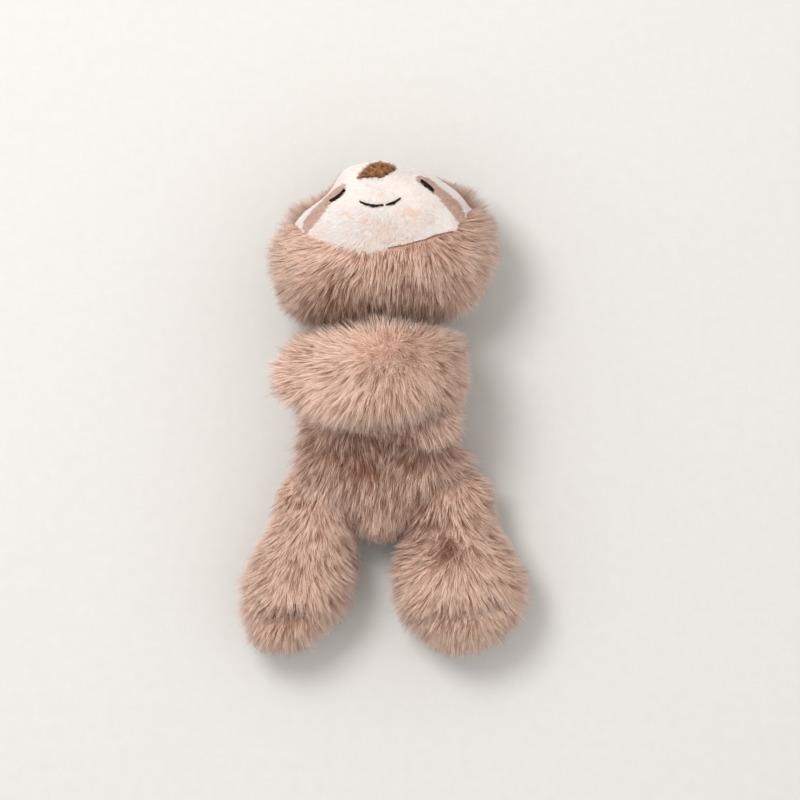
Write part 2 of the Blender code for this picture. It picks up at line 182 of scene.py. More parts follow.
# %% Studio: sheet, lamp and sky
def pale_sheet():
    shader = Shader("pale_studio_sheet")
    grain = shader.node("TexNoise", {}, {"Scale": 900.0, "Detail": 2.0})
    colour = grain.mix(linear(211, 208, 204), linear(217, 214, 210))
    bump = shader.node("Bump", {}, {"Strength": 0.05, "Distance": 0.0002, "Height": grain})
    return shader.finish({"Base Color": colour, "Roughness": 0.9, "Normal": bump})


sheet_half = 3.0
sheet_mesh = bpy.data.meshes.new("studio_sheet")
corners = [(x * sheet_half, y * sheet_half, 0) for x, y in ((-1, -1), (1, -1), (1, 1), (-1, 1))]
sheet_mesh.from_pydata(corners, [], [(0, 1, 2, 3)])
sheet = bpy.data.objects.new("studio_sheet", sheet_mesh)
sheet.data.materials.append(pale_sheet())
bpy.context.scene.collection.objects.link(sheet)

lamp_place = Vector((-0.52, 0.60, 1.50))
lamp_aim = Vector((0, 0.02, 0.04))
lamp_data = bpy.data.lights.new("window_lamp", "AREA")
lamp_data.shape = "SQUARE"
lamp_data.size = 0.6
lamp_data.energy = 16.5
lamp = bpy.data.objects.new("window_lamp", lamp_data)
lamp.location = lamp_place
lamp.rotation_euler = (lamp_aim - lamp_place).to_track_quat("-Z", "Y").to_euler()
bpy.context.scene.collection.objects.link(lamp)

sky = bpy.data.worlds.new("pale_sky")
bpy.context.scene.world = sky
sky.use_nodes = True
sky_inputs = sky.node_tree.nodes["Background"].inputs
sky_inputs["Color"].default_value = (1.0, 0.99, 0.98, 1.0)
sky_inputs["Strength"].default_value = 0.84
bpy.context.scene.view_settings.view_transform = "Standard"
print("lamp", round((lamp_place - lamp_aim).length, 2), "m from the toy")

# %% [markdown]
# Each hair of the pile reads two numbers from a map called OFBake: its own tone across, and the way
# from root to tip up. Roots are darker and tips are pale, as in the photograph where the fur parts.
# The second number also makes the root rougher than the tip.

# %% Pile materials
white = (1.0, 1.0, 1.0, 1.0)
tone_gain = 1.9
rougher_root = 0.6


def pile_material(name, root, middle, tip, dark, roughness):
    """Pile that runs from a root colour to a tip colour, and turns dark where its tone is low."""
    shader = Shader(name)
    place = shader.node("UVMap", {"uv_map": "OFBake"})
    tone = shader.node("SeparateXYZ", {}, {0: place}, 0)
    along = shader.node("SeparateXYZ", {}, {0: place}, 1)
    stops = [(0.0, root), (1.0, tip), (0.45, middle)]
    colour = shader.node("ValToRGB", {"stops": stops}, {0: along})
    # The dark colour comes in where tone is low: in random locks and hairs, and under spots of painted
    # shade. Spots of painted light raise the tone and pale the pile.
    tint = (tone * tone_gain).mix(dark, white)
    blend = {"data_type": "RGBA", "blend_type": "MULTIPLY"}
    varied = shader.node("Mix", blend, {0: 1.0, 6: colour, 7: tint}, 2)
    duller = (1 - roughness) * rougher_root
    rough = roughness + (1 - along) * duller
    return shader.finish(
        {
            "Base Color": varied,
            "Roughness": rough,
            "Specular IOR Level": 0.3,
            "Sheen Weight": 0.15,
            "Sheen Roughness": 0.5,
        }
    )


fur_pile = pile_material(
    "taupe_fur_pile", linear(206, 150, 122), linear(248, 202, 178), linear(255, 230, 212),
    linear(136, 98, 77), 0.55,
)
face_pile = pile_material(
    "cream_face_pile", linear(255, 238, 230), linear(255, 246, 240), linear(255, 249, 246),
    linear(250, 214, 188), 0.75,
)
band_pile = pile_material(
    "mauve_eye_pile", linear(202, 164, 148), linear(222, 186, 170), linear(238, 208, 194),
    linear(206, 190, 184), 0.75,
)
nose_pile = pile_material(
    "brown_nose_pile", linear(76, 36, 14), linear(150, 84, 42), linear(244, 180, 118),
    linear(84, 56, 42), 0.5,
)
print("pile:", [pile.name for pile in (fur_pile, face_pile, band_pile, nose_pile)])

# %% [markdown]
# Under the pile is knitted backing cloth, and inside that is crimped fibre. Neither shows from
# outside, but both are there: the cloth carries the pile and keeps light from passing through. Cloth
# is a close grid of small bumps, and crimped fibre is a tangle that stretched noise gives well.

# %% Cloth, filling and thread materials
def backing_cloth(name, colour, pale):
    shader = Shader(name)
    place = shader.node("TexCoord", {}, {}, 3)
    weave = {"Vector": place, "Scale": 600.0, "Distortion": 2.0}
    knit = shader.node("TexWave", {"bands_direction": "DIAGONAL"}, weave, 1)
    blotch = shader.node("TexNoise", {}, {"Vector": place, "Scale": 60.0, "Detail": 4.0})
    tint = ((knit + blotch) * 0.5).mix(colour, pale)
    bump = shader.node("Bump", {}, {"Strength": 0.4, "Distance": 0.0003, "Height": knit})
    return shader.finish({"Base Color": tint, "Roughness": 0.95, "Normal": bump})


def crimped_fibre():
    shader = Shader("crimped_fibre_filling")
    place = shader.node("TexCoord", {}, {}, 3)
    tangle = shader.node("TexNoise", {}, {"Vector": place, "Scale": 350.0, "Detail": 6.0, "Distortion": 3.0})
    tint = tangle.mix(linear(205, 205, 202), linear(246, 246, 243))
    bump = shader.node("Bump", {}, {"Strength": 0.8, "Distance": 0.001, "Height": tangle})
    return shader.finish({"Base Color": tint, "Roughness": 1.0, "Normal": bump})


def twisted_thread(name, dark, pale, sheen):
    shader = Shader(name)
    place = shader.node("TexCoord", {}, {}, 3)
    ply = shader.node("TexWave", {"bands_direction": "DIAGONAL"}, {"Vector": place, "Scale": 900.0}, 1)
    bump = shader.node("Bump", {}, {"Strength": 0.6, "Distance": 0.0002, "Height": ply})
    inputs = {"Base Color": ply.mix(dark, pale), "Roughness": 0.6, "Specular IOR Level": 0.25}
    inputs.update({"Sheen Weight": sheen, "Normal": bump})
    return shader.finish(inputs)


fur_backing = backing_cloth("taupe_backing_cloth", linear(196, 162, 144), linear(214, 180, 162))
face_backing = backing_cloth("cream_backing_cloth", linear(248, 234, 224), linear(254, 244, 236))
band_backing = backing_cloth("mauve_backing_cloth", linear(176, 142, 132), linear(196, 160, 150))
nose_backing = backing_cloth("brown_backing_cloth", linear(96, 60, 38), linear(122, 80, 52))
filling = crimped_fibre()
dark_thread = twisted_thread("dark_brown_thread", linear(14, 7, 5), linear(34, 21, 17), 0.0)
# The seam under the chin is real, but its thread's brown is painted shade for the gap between the two piles.
chin_thread = twisted_thread("brown_chin_thread", linear(128, 90, 70), linear(160, 118, 96), 0.1)
seam_thread = twisted_thread("taupe_seam_thread", linear(128, 108, 96), linear(168, 146, 132), 0.1)
print("inside:", fur_backing.name, filling.name, dark_thread.name, "and others")

# %% [markdown]
# Every piece here is made from arrays of points and faces, because a pile has a hundred thousand
# hairs and arrays make them in seconds. One function turns arrays into a mesh object, gives it its
# material, and lets it ride on the body that it is sewn to.

# %% Pieces from arrays
body_of_node = {}
for body_name, members in frame["record"]["behaviour"]["bodies"].items():
    for member in members:
        body_of_node[member] = body_name


def make_piece(name, points, faces, material, body, marks=None, ways=None):
    """A mesh object from arrays: points, faces, marks for its OFBake map, and ways to shade by."""
    mesh = bpy.data.meshes.new(name)
    mesh.vertices.add(len(points))
    mesh.vertices.foreach_set("co", np.ascontiguousarray(points, np.float32).ravel())
    corners = np.concatenate([group.ravel() for group in faces]).astype(np.int32)
    sizes = np.concatenate([np.full(len(group), group.shape[1]) for group in faces])
    mesh.loops.add(len(corners))
    mesh.loops.foreach_set("vertex_index", corners)
    mesh.polygons.add(len(sizes))
    starts = np.concatenate([[0], np.cumsum(sizes)[:-1]]).astype(np.int32)
    mesh.polygons.foreach_set("loop_start", starts)
    mesh.polygons.foreach_set("use_smooth", np.ones(len(sizes), bool))
    mesh.update(calc_edges=True)
    if marks is not None:
        layer = mesh.uv_layers.new(name="OFBake")
        layer.data.foreach_set("uv", np.ascontiguousarray(marks[corners], np.float32).ravel())
    if ways is not None:
        mesh.normals_split_custom_set_from_vertices(np.ascontiguousarray(ways, np.float32))
    mesh.materials.append(material)
    made = bpy.data.objects.new(name, mesh)
    bpy.context.scene.collection.objects.link(made)
    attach(made, body)
    return made


# %% [markdown]
# A stuffed bag can be modelled by hand from a subdivided cube, or grown by cloth simulation, but here
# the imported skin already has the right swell. It is only faceted, and it stands where the tips of the
# pile reach. So the skin and its filling are fused by a voxel remesh, which gives even faces. The
# remesh also keeps the walls of hollows inside, and those are left out.

# %% Even faces round a bag
def sides_of(quads):
    """The four sides of every face, as pairs of points."""
    return np.concatenate([quads[:, [k, (k + 1) % 4]] for k in range(4)])


def edges_of(quads):
    return np.unique(np.sort(sides_of(quads), axis=1), axis=0)


def outer_shell(points, quads):
    """Only the widest of the separate surfaces, so that hollows inside the form are left out."""
    edges = edges_of(quads)
    label = np.arange(len(points))
    while True:
        low = np.minimum(label[edges[:, 0]], label[edges[:, 1]])
        spread = label.copy()
        np.minimum.at(spread, edges[:, 0], low)
        np.minimum.at(spread, edges[:, 1], low)
        if (spread == label).all():
            break
        label = spread
    names, counts = np.unique(label, return_counts=True)
    keep = label == names[counts.argmax()]
    renumber = np.cumsum(keep) - 1
    return points[keep], renumber[quads[keep[quads].all(axis=1)]]


def fused(nodes, voxel):
    """Points and four-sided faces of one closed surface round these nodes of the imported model."""
    joined = bmesh.new()
    for node in nodes:
        joined.from_mesh(frame["nodes"][node].data)
    mesh = bpy.data.meshes.new("fusing")
    joined.to_mesh(mesh)
    joined.free()
    helper = bpy.data.objects.new("fusing", mesh)
    bpy.context.scene.collection.objects.link(helper)
    remesh = helper.modifiers.new("even faces", "REMESH")
    remesh.mode = "VOXEL"
    remesh.voxel_size = voxel
    done = helper.evaluated_get(bpy.context.evaluated_depsgraph_get()).to_mesh()
    points = np.empty(len(done.vertices) * 3, np.float32)
    done.vertices.foreach_get("co", points)
    quads = np.empty(len(done.loops), np.int32)
    done.loops.foreach_get("vertex_index", quads)
    bpy.data.objects.remove(helper)
    bpy.data.meshes.remove(mesh)
    return outer_shell(points.reshape(-1, 3).astype(float), quads.reshape(-1, 4))


print("packed torso skin:", len(frame["nodes"]["body_skin"].data.polygons), "faces")

# %% [markdown]
# Smoothing draws every point halfway to the mean of its neighbours. Moving a surface in or out goes
# in small steps with a little smoothing after each, or its sharp places would fold over themselves.

# %% Smooth a form and move it
def unit(vectors):
    length = np.linalg.norm(vectors, axis=-1, keepdims=True)
    return vectors / np.maximum(length, 1e-12)


def relaxed(points, edges, rounds):
    """Draws each point halfway to the mean of its neighbours, round after round."""
    count = np.bincount(edges.ravel(), minlength=len(points))[:, None]
    for _ in range(rounds):
        total = np.zeros_like(points)
        np.add.at(total, edges[:, 0], points[edges[:, 1]])
        np.add.at(total, edges[:, 1], points[edges[:, 0]])
        points = (points + total / count) / 2
    return points


def normals_of(points, quads):
    across = points[quads[:, 2]] - points[quads[:, 0]]
    other = points[quads[:, 3]] - points[quads[:, 1]]
    turned = np.cross(across, other)
    total = np.zeros_like(points)
    for corner in range(4):
        np.add.at(total, quads[:, corner], turned)
    return unit(total)


def moved_out(points, quads, distance, steps=4):
    """The surface pushed out along its normals, or drawn in by a distance below zero."""
    edges = edges_of(quads)
    step = np.broadcast_to(distance, len(points))[:, None] / steps
    for _ in range(steps):
        points = points + normals_of(points, quads) * step
        points = relaxed(points, edges, 1)
    return points


print("a way of length one:", unit(np.array([3.0, 4.0, 0.0])))

# %% [markdown]
# Where two bags lie against each other, their pile is pressed flat. How much room a place has decides
# how deep its pile is, so a search tree over the faces of the other bags measures how near they are.

# %% Room beside other bags
def tree_of(node):
    """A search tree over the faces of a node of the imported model."""
    mesh = frame["nodes"][node].data
    corners = [tuple(vertex.co) for vertex in mesh.vertices]
    return BVHTree.FromPolygons(corners, [tuple(face.vertices) for face in mesh.polygons])


def distances(points, node):
    tree = tree_of(node)
    return np.array([tree.find_nearest(Vector(point))[3] for point in points])


def room(points, part):
    """How far each point is from the bags that its own bag is sewn to or lies against."""
    others = [node for node in frame["nodes"] if node.endswith("_skin") and node != part + "_skin"]
    return np.min([distances(points, node) for node in others], axis=0)


print("sewn bags:", [node for node in frame["nodes"] if node.endswith("_skin")])

# %% [markdown]
# Fur on a real toy is brushed by hands and by lying about, so its lie can't come from one rule. It is
# combed here as a groomer would: at many spots on the toy a note says which way the tips point, and
# every hair follows the notes near it. The notes are in the photograph's pixels, with the direction
# in degrees, 0 to the right and 90 to the top.

# %% Comb
comb_reach = 13
far_pull = 1e-4


def to_photo(points):
    """The pixels of the photograph at which the camera sees these points."""
    larger = (camera_height - middle_height) / (camera_height - points[:, 2])
    x = camera_x + (points[:, 0] - camera_x) * larger
    y = camera_y + (points[:, 1] - camera_y) * larger
    return x / pixel_size + origin_pixel[0], origin_pixel[1] - y / pixel_size


def nearness(points, table, reach):
    """How strongly each point feels each row of a table that starts with a pixel's place."""
    across, down = to_photo(points)
    gap = (across[:, None] - table[:, 0]) ** 2 + (down[:, None] - table[:, 1]) ** 2
    return np.exp(-gap / (2 * reach**2)) + far_pull / (1 + gap)


def combed(points, notes):
    """The way the tips point at each place, as a level direction."""
    table = np.array(notes, float)
    weight = nearness(points, table, comb_reach)
    turn = np.radians(table[:, 2])
    level = np.stack([weight @ np.cos(turn), weight @ np.sin(turn), np.zeros(len(points))], axis=1)
    return unit(level)


print("origin is seen at", [round(float(pixel[0]), 1) for pixel in to_photo(np.zeros((1, 3)))])

# %% [markdown]
# Round soft spots say where the pile is darker or paler, longer or ruffled, and where the form swells. Each
# is a row: a pixel, a radius in pixels and a strength. Darker spots are mostly painted shade, in creases,
# partings and where one part lies over another, and spots below zero are mostly painted light on sides
# turned to the lamp. Folds are pressed in along straight lines, and a slow drift keeps large areas from
# looking even. Sculpting would do this too, but a table of numbers can be read and changed.

# %% Spots, lumps, folds and drift
upper_gain = 2
wave_count = 7
wave_range = (0.6, 1.5)
wave_share = 3


def spotted(points, spots, size=1):
    """The sum of soft round spots at each place: rows of pixel place, radius in pixels and strength."""
    total = np.zeros(len(points))
    for across, down, radius, strength in spots:
        spot = np.array([[across, down]], float)
        total += strength * size * nearness(points, spot, radius)[:, 0]
    return total


def swelled(points, quads, lumps):
    """Pushes soft lumps out of the form. They are spots whose strength is a height in mm."""
    return moved_out(points, quads, spotted(points, lumps, millimetre))


def line_gap(places, start, stop):
    """How far each place is from the straight line between two places."""
    run = stop - start
    share = np.clip(((places - start) @ run) / (run @ run), 0, 1)
    return np.linalg.norm(places - start - share[:, None] * run, axis=1)


def folded(points, quads, folds):
    """Presses soft folds into the upper side: pixel line from and to, half width and depth in mm."""
    up = np.clip(normals_of(points, quads)[:, 2] * upper_gain, 0, 1)
    places = np.stack(to_photo(points), axis=1)
    for *ends, half_width, depth in folds:
        start, stop = np.array(ends, float).reshape(2, 2)
        away = line_gap(places, start, stop) * pixel_size / millimetre
        points[:, 2] -= up * depth * millimetre * np.exp(-((away / half_width) ** 2))
    return points


def drift(points, size, seed):
    """A smooth wandering value, about -1 to 1, that changes over the given size."""
    dice = np.random.default_rng(seed)
    ways = unit(dice.normal(size=(wave_count, 3)))
    waves = ways * (2 * math.pi / size) * dice.uniform(*wave_range, (wave_count, 1))
    phase = dice.uniform(0, 2 * math.pi, wave_count)
    return np.sin(points @ waves.T + phase).sum(axis=1) / wave_share


print("drift at the origin:", round(float(drift(np.zeros((1, 3)), 0.02, 9)[0]), 2))

# %% [markdown]
# A hair is a three-sided spike: a few rings of three points and one tip, flattened to the cloth. Hair
# curves would be lighter, but a solid spike also survives in a model that other programs open. Its
# normals lean to the cloth's own, which shades the coat as one soft surface.

# %% Spikes
hair_flatness = 0.25
hair_roundness = 0.45
hair_taper = 0.45
off_axis = np.array((0.011, 0.017, 0.013))
map_left, map_width = 0.02, 0.94
map_low, map_height = 0.01, 0.98
side_step = 0.012


def ring_sides(first, rings, sides):
    """Four-sided faces between the rings of many tubes, each with its points from first on."""
    quads = []
    for ring in range(rings - 1):
        low, high = ring * sides, (ring + 1) * sides
        for side in range(sides):
            after = (side + 1) % sides
            quads.append(first + np.array([low + side, low + after, high + after, high + side]))
    return np.concatenate(quads)


def spikes(line, facing, width, tone, times):
    """Three-sided spikes that lie flat to the cloth, with tone across and height up the map."""
    count, rings = line.shape[0], line.shape[1] - 1
    ahead = unit(line[:, 1:] - line[:, :-1])
    beside = unit(np.cross(ahead, facing[:, None] + off_axis))
    above = np.cross(ahead, beside) * hair_flatness
    thick = width / 2 * (1 - hair_taper * np.array(times[:-1]))
    tip = rings * 3
    verts = np.empty((count, tip + 1, 3))
    marks = np.empty((count, tip + 1, 2))
    ways = np.repeat(facing[:, None], tip + 1, axis=1)
    across = map_left + map_width * tone
    for side in range(3):
        turn = 2 * math.pi * (side / 3 - 0.25)
        out = beside * math.cos(turn) + above * math.sin(turn)
        verts[:, side:tip:3] = line[:, :-1] + out * thick[None, :, None]
        ways[:, side:tip:3] += out * hair_roundness
        marks[:, side:tip:3, 0] = (across + side_step * side)[:, None]
        marks[:, side:tip:3, 1] = map_low + map_height * np.array(times[:-1])
    marks[:, 0, 1] = 0.0
    verts[:, -1] = line[:, -1]
    marks[:, -1, 0] = across + side_step
    marks[:, -1, 1] = map_low + map_height
    first = (np.arange(count) * (tip + 1))[:, None]
    last = tip - 3
    ends = [first + np.array([last + side, last + (side + 1) % 3, tip]) for side in range(3)]
    ends.append(first + np.array([2, 1, 0]))
    faces = [ring_sides(first, rings, 3), np.concatenate(ends)]
    return verts.reshape(-1, 3), faces, marks.reshape(-1, 2), unit(ways).reshape(-1, 3)


print("hairs lose", hair_taper, "of their width and end in a point")

# %% [markdown]
# Roots are strewn over the cloth at random, since the rows of a knitted pile don't show once it is
# brushed. A hair leaves the cloth upright and bends into the comb's direction, so its path is walked
# in short steps that turn from one to the other.

# %% Roots and paths
path_steps = 12


def scatter(points, quads, density, dice):
    """Random places on a surface, so many for each square metre, with their normals."""
    faces = np.concatenate([quads[:, [0, 1, 2]], quads[:, [0, 2, 3]]])
    normals = normals_of(points, quads)
    first, second, third = (points[faces[:, k]] for k in range(3))
    area = np.linalg.norm(np.cross(second - first, third - first), axis=1) / 2
    count = int(area.sum() * density)
    pick = dice.choice(len(faces), count, p=area / area.sum())
    share = dice.random((count, 2))
    over = share.sum(axis=1) > 1
    share[over] = 1 - share[over]
    weights = np.stack([1 - share.sum(axis=1), share[:, 0], share[:, 1]], axis=1)
    roots = np.einsum("nk,nkj->nj", weights, points[faces[pick]])
    ways = unit(np.einsum("nk,nkj->nj", weights, normals[faces[pick]]))
    return roots, ways


def paths(roots, start, end, length, times, bend):
    """Points along each hair, which leaves along start and bends into end."""
    points = [roots]
    for step in range(path_steps):
        share = ((step + 0.5) / path_steps) ** bend
        tangent = unit(start * (1 - share) + end * share)
        points.append(points[-1] + tangent * (length / path_steps)[:, None])
    line = np.stack(points, axis=1)
    picks = [int(round(time * path_steps)) for time in times]
    return line[:, picks]


print("paths are walked in", path_steps, "steps")

# %% [markdown]
# Real pile gathers into small locks, so each hair leans towards the middle hair of its lock, more so
# near its tip. Locks differ in turn, length and tone, and so do the hairs in each lock. A few stray
# hairs are longer and paler.

# %% Hairs in locks
table_gap = 0.3 * millimetre
floor_spread = 1.2 * millimetre
droop_begins = 0.6
rise_gain = 1.4
length_range = (0.45, 1.5)
stray_hairs = 0.1
stray_longer = 1.25
stray_paler = 0.25
lock_lift = 0.12
hair_lift = 0.15
pull_power = 1.3
middle_tone = 0.5
tone_drift = 0.07
tone_drift_size = 22 * millimetre


def turned(flow, angle):
    """Level directions turned about the upright axis."""
    cosine, sine = np.cos(angle), np.sin(angle)
    x = flow[:, 0] * cosine - flow[:, 1] * sine
    y = flow[:, 0] * sine + flow[:, 1] * cosine
    return np.stack([x, y, flow[:, 2]], axis=1)


def hairs(roots, normals, flow, dice, look):
    """Points, faces, marks and ways of a pile. The look names its sizes and how it gathers."""
    count = len(roots)
    middles = dice.choice(count, max(2, int(count / look["hairs_a_lock"])), replace=False)
    tree = KDTree(len(middles))
    for place, middle in enumerate(middles):
        tree.insert(roots[middle], place)
    tree.balance()
    lock = np.array([tree.find(root)[1] for root in roots])
    wander = dice.normal(0, look["lock_turn"], len(middles))[lock]
    wander += drift(roots, look["swirl_size"], 5) * look["swirl_turn"]
    wander += dice.normal(0, 1, count) * look["hair_turn"]
    flow = turned(flow, np.radians(wander))
    flow[:, 2] -= look["droop"] * np.clip(droop_begins - normals[:, 2], 0, 1)
    lean = 1 + dice.normal(0, lock_lift, len(middles))[lock] + dice.normal(0, hair_lift, count)
    lean = look["lift"] * lean
    end = unit(flow + normals * lean[:, None])
    short = np.clip(look["least_rise"] - (end * normals).sum(axis=1), 0, 1)
    end = unit(end + normals * (rise_gain * short)[:, None])
    start = unit(normals + flow * look["start_lean"])
    size = look["length"] * (1 + dice.normal(0, look["lock_length"], len(middles))[lock])
    size = size * np.clip(1 + dice.normal(0, look["hair_length"], count), *length_range)
    stray = dice.random(count) < stray_hairs
    size = size * np.where(stray, stray_longer, 1)
    times = look["times"]
    line = paths(roots, start, end, size, times, look["bend"])
    own = line[middles][lock]
    spread = (roots - roots[middles][lock])[:, None] * look["lock_spread"]
    pull = look["lock_pull"] * np.array(times) ** pull_power
    line = line * (1 - pull[None, :, None]) + (own + spread) * pull[None, :, None]
    floor = table_gap + dice.random(count)[:, None] * floor_spread
    line[:, :, 2] = np.maximum(line[:, :, 2], floor)
    tone = middle_tone + dice.normal(0, look["lock_tone"], len(middles))[lock]
    tone += dice.normal(0, look["hair_tone"], count) + stray_paler * stray
    tone += drift(roots, tone_drift_size, 9) * tone_drift - look["shade"]
    return spikes(line, normals, look["width"], np.clip(tone, 0, 1), times)


print("about one hair in", round(1 / stray_hairs), "is a stray")

# %% [markdown]
# The look of the fur is one table: sizes, how it leaves the cloth, and how it gathers. Coats with
# another look copy this table and change a few of its rows.

# %% Look of the fur
fur_density = 2.4e6
fur_look = {
    "length": 10.5 * millimetre,
    "width": 0.22 * millimetre,
    "times": (0.0, 0.34, 0.67, 1.0),
    "bend": 0.7,
    "lift": 0.36,
    "start_lean": 0.7,
    "least_rise": 0.16,
    "droop": 0.45,
    "hairs_a_lock": 4.5,
    "lock_turn": 6.0,
    "hair_turn": 5.0,
    "swirl_size": 18 * millimetre,
    "swirl_turn": 12.0,
    "lock_length": 0.06,
    "hair_length": 0.16,
    "lock_spread": 0.35,
    "lock_pull": 0.4,
    "lock_tone": 0.24,
    "hair_tone": 0.1,
    "shade": 0.0,
}
print("fur of", fur_look["length"] / millimetre, "mm,", fur_density / 1e6, "hairs on a square millimetre")

# %% [markdown]
# A whole coat would be one very large mesh, so it is planted in several pieces of at most twelve
# thousand hairs, each a patch of the coat from one end to the other.

# %% Planting a coat
most_hairs = 12000
patch_slope = 0.2


def plant(name, roots, normals, flow, look, material, body, seed):
    """Plants hairs at the roots. Each patch of the coat is a piece of its own."""
    order = np.argsort(roots[:, 1] + roots[:, 0] * patch_slope)
    patches = max(1, math.ceil(len(roots) / most_hairs))
    for number, picks in enumerate(np.array_split(order, patches), 1):
        dice = np.random.default_rng(seed * 100 + number)
        shown = dict(look)
        for key in ("length", "lift", "shade", "hair_turn"):
            if np.ndim(look[key]):
                shown[key] = look[key][picks]
        points, faces, marks, ways = hairs(roots[picks], normals[picks], flow[picks], dice, shown)
        make_piece(f"{name}_{number}", points, faces, material, body, marks, ways)
    print(name, len(roots), "hairs in", patches, "patches")


print("a patch holds up to", most_hairs, "hairs")

# %% [markdown]
# A dressed bag is cloth, filling and fur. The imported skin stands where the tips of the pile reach, so
# the cloth is drawn in by the depth of the pile, and less where bags press on each other. There the
# innermost fur is left out.

# %% Dressing a bag
bag_voxel = 2.5 * millimetre
bag_rounds = 6
fur_depth = 4.5 * millimetre
full_depth_room = 11 * millimetre
least_depth_share = 0.12
filling_inside_cloth = 2.0 * millimetre
open_room = 1.6 * millimetre
ruffle_lift = 0.7
ruffle_turn = 40
trimming_range = (0.35, 1.6)


def furry_bag(part, seed, notes, spots, folds, lumps=(), ruffles=(), lengths=()):
    """Cloth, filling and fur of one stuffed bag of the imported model."""
    skin, stuffing = part + "_skin", part + "_stuffing"
    body = body_of_node[skin]
    points, quads = fused((skin, stuffing), bag_voxel)
    points = relaxed(points, edges_of(quads), bag_rounds)
    drawn = fur_depth * np.clip(room(points, part) / full_depth_room, least_depth_share, 1)
    points = moved_out(points, quads, -drawn)
    points = swelled(points, quads, lumps)
    points = folded(points, quads, folds)
    cloth = make_piece(part + "_cloth", points, [quads], fur_backing, body)
    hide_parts(skin)
    inner = moved_out(points, quads, -filling_inside_cloth)
    inside = make_piece(part + "_filling", inner, [quads], filling, body)
    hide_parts(stuffing)
    dice = np.random.default_rng(seed)
    roots, normals = scatter(points, quads, fur_density, dice)
    open_air = room(roots, part) > open_room
    roots, normals = roots[open_air], normals[open_air]
    look = dict(fur_look)
    # Spots of painted shade darken the pile, and spots below zero are painted light.
    look["shade"] = spotted(roots, spots)
    ruffled = spotted(roots, ruffles)
    look["lift"] = fur_look["lift"] + ruffle_lift * ruffled
    look["hair_turn"] = fur_look["hair_turn"] + ruffle_turn * ruffled
    trimming = np.clip(1 + spotted(roots, lengths), *trimming_range)
    look["length"] = fur_look["length"] * trimming
    plant(part + "_fur", roots, normals, combed(roots, notes), look, fur_pile, body, seed)


print("pile depth", fur_depth / millimetre, "mm, and", least_depth_share, "of it where bags press")

# %% [markdown]
# The torso shows below the arms as a belly whose fur runs down to a small lobe between the legs, with
# shade painted into it under the arms, over the belly and beside the lobe. Its upper part lies under the
# arms, so a few notes are enough there.

# %% Torso
torso_notes = (
    (330, 350, 200), (381, 350, 270), (440, 350, 340), (300, 400, 200), (460, 400, 340),
    (300, 441, 222), (292, 462, 208), (472, 458, 328), (339, 453, 275), (374, 453, 285), (408, 450, 238),
    (425, 450, 235), (442, 452, 320), (328, 487, 250), (362, 499, 275), (385, 487, 265),
    (408, 487, 246), (316, 470, 245), (371, 521, 270), (353, 517, 284), (396, 517, 255),
    (371, 545, 270), (355, 470, 268), (395, 470, 250),
)
# Painted shade under the arms, over the belly and beside the lobe.
torso_shades = (
    (372, 450, 34, 0.34), (330, 438, 22, 0.26), (420, 446, 18, 0.22), (367, 462, 6, 0.25),
    (372, 490, 30, 0.12), (385, 500, 20, 0.10), (350, 545, 10, 0.2), (395, 545, 10, 0.2),
)
torso_folds = ((345, 500, 362, 545, 4, 2), (430, 490, 392, 545, 4, 2))
torso_lumps = (
    (288, 460, 14, 10), (322, 470, 14, 3), (473, 462, 14, 13.5), (436, 474, 14, 2.5),
    (452, 438, 10, -3),
)
torso_lengths = (
    (300, 462, 16, 0.5), (330, 480, 14, 0.4), (462, 462, 14, 0.5), (430, 482, 12, 0.3),
    (377, 542, 14, -0.4),
)
furry_bag("body", 11, torso_notes, torso_shades, torso_folds, torso_lumps, lengths=torso_lengths)

# %% [markdown]
# The legs are short and stout. Their fur runs outwards over the edges and fans round the heel and
# the toes. A fold runs over each foot where the sole turns up.

# %% Right leg
right_leg_notes = (
    (282, 470, 214), (280, 487, 222), (282, 510, 242), (316, 490, 262), (316, 510, 265),
    (339, 526, 288), (350, 545, 300), (360, 567, 322), (353, 590, 318), (339, 613, 300),
    (266, 530, 232), (282, 540, 236), (252, 558, 205), (241, 580, 200), (241, 595, 208),
    (305, 556, 265), (293, 579, 250), (270, 590, 258), (321, 579, 300), (328, 601, 296),
    (287, 606, 240), (310, 606, 275), (259, 631, 245), (294, 640, 272), (323, 636, 288),
    (239, 624, 218), (285, 625, 262), (250, 648, 250), (300, 652, 272), (330, 645, 300),
)
# Painted shade in the fold over the foot and in the creases at the knee and between the legs; the row below
# zero is painted light on the foot.
right_leg_shades = (
    (288, 611, 9, 0.42), (265, 600, 5, 0.25), (302, 503, 9, 0.16), (345, 520, 8, 0.2),
    (300, 560, 14, 0.10), (345, 545, 8, 0.14), (280, 600, 12, -0.12),
)
right_leg_folds = (
    (272, 615, 303, 606, 3.4, 8), (262, 588, 268, 614, 2.6, 4), (300, 505, 314, 497, 3, 2.5),
    (303, 608, 338, 620, 3.6, 5),
)
right_leg_lumps = (
    (278, 484, 12, 3), (286, 471, 11, 7), (354, 556, 16, 3.5), (238, 580, 28, -4),
    (296, 656, 26, -5.5), (346, 626, 16, -4), (252, 642, 12, 1),
)
right_leg_lengths = ((300, 470, 16, -0.6), (282, 484, 12, -0.4))
furry_bag(
    "right_leg", 12, right_leg_notes, right_leg_shades, right_leg_folds, right_leg_lumps,
    lengths=right_leg_lengths,
)
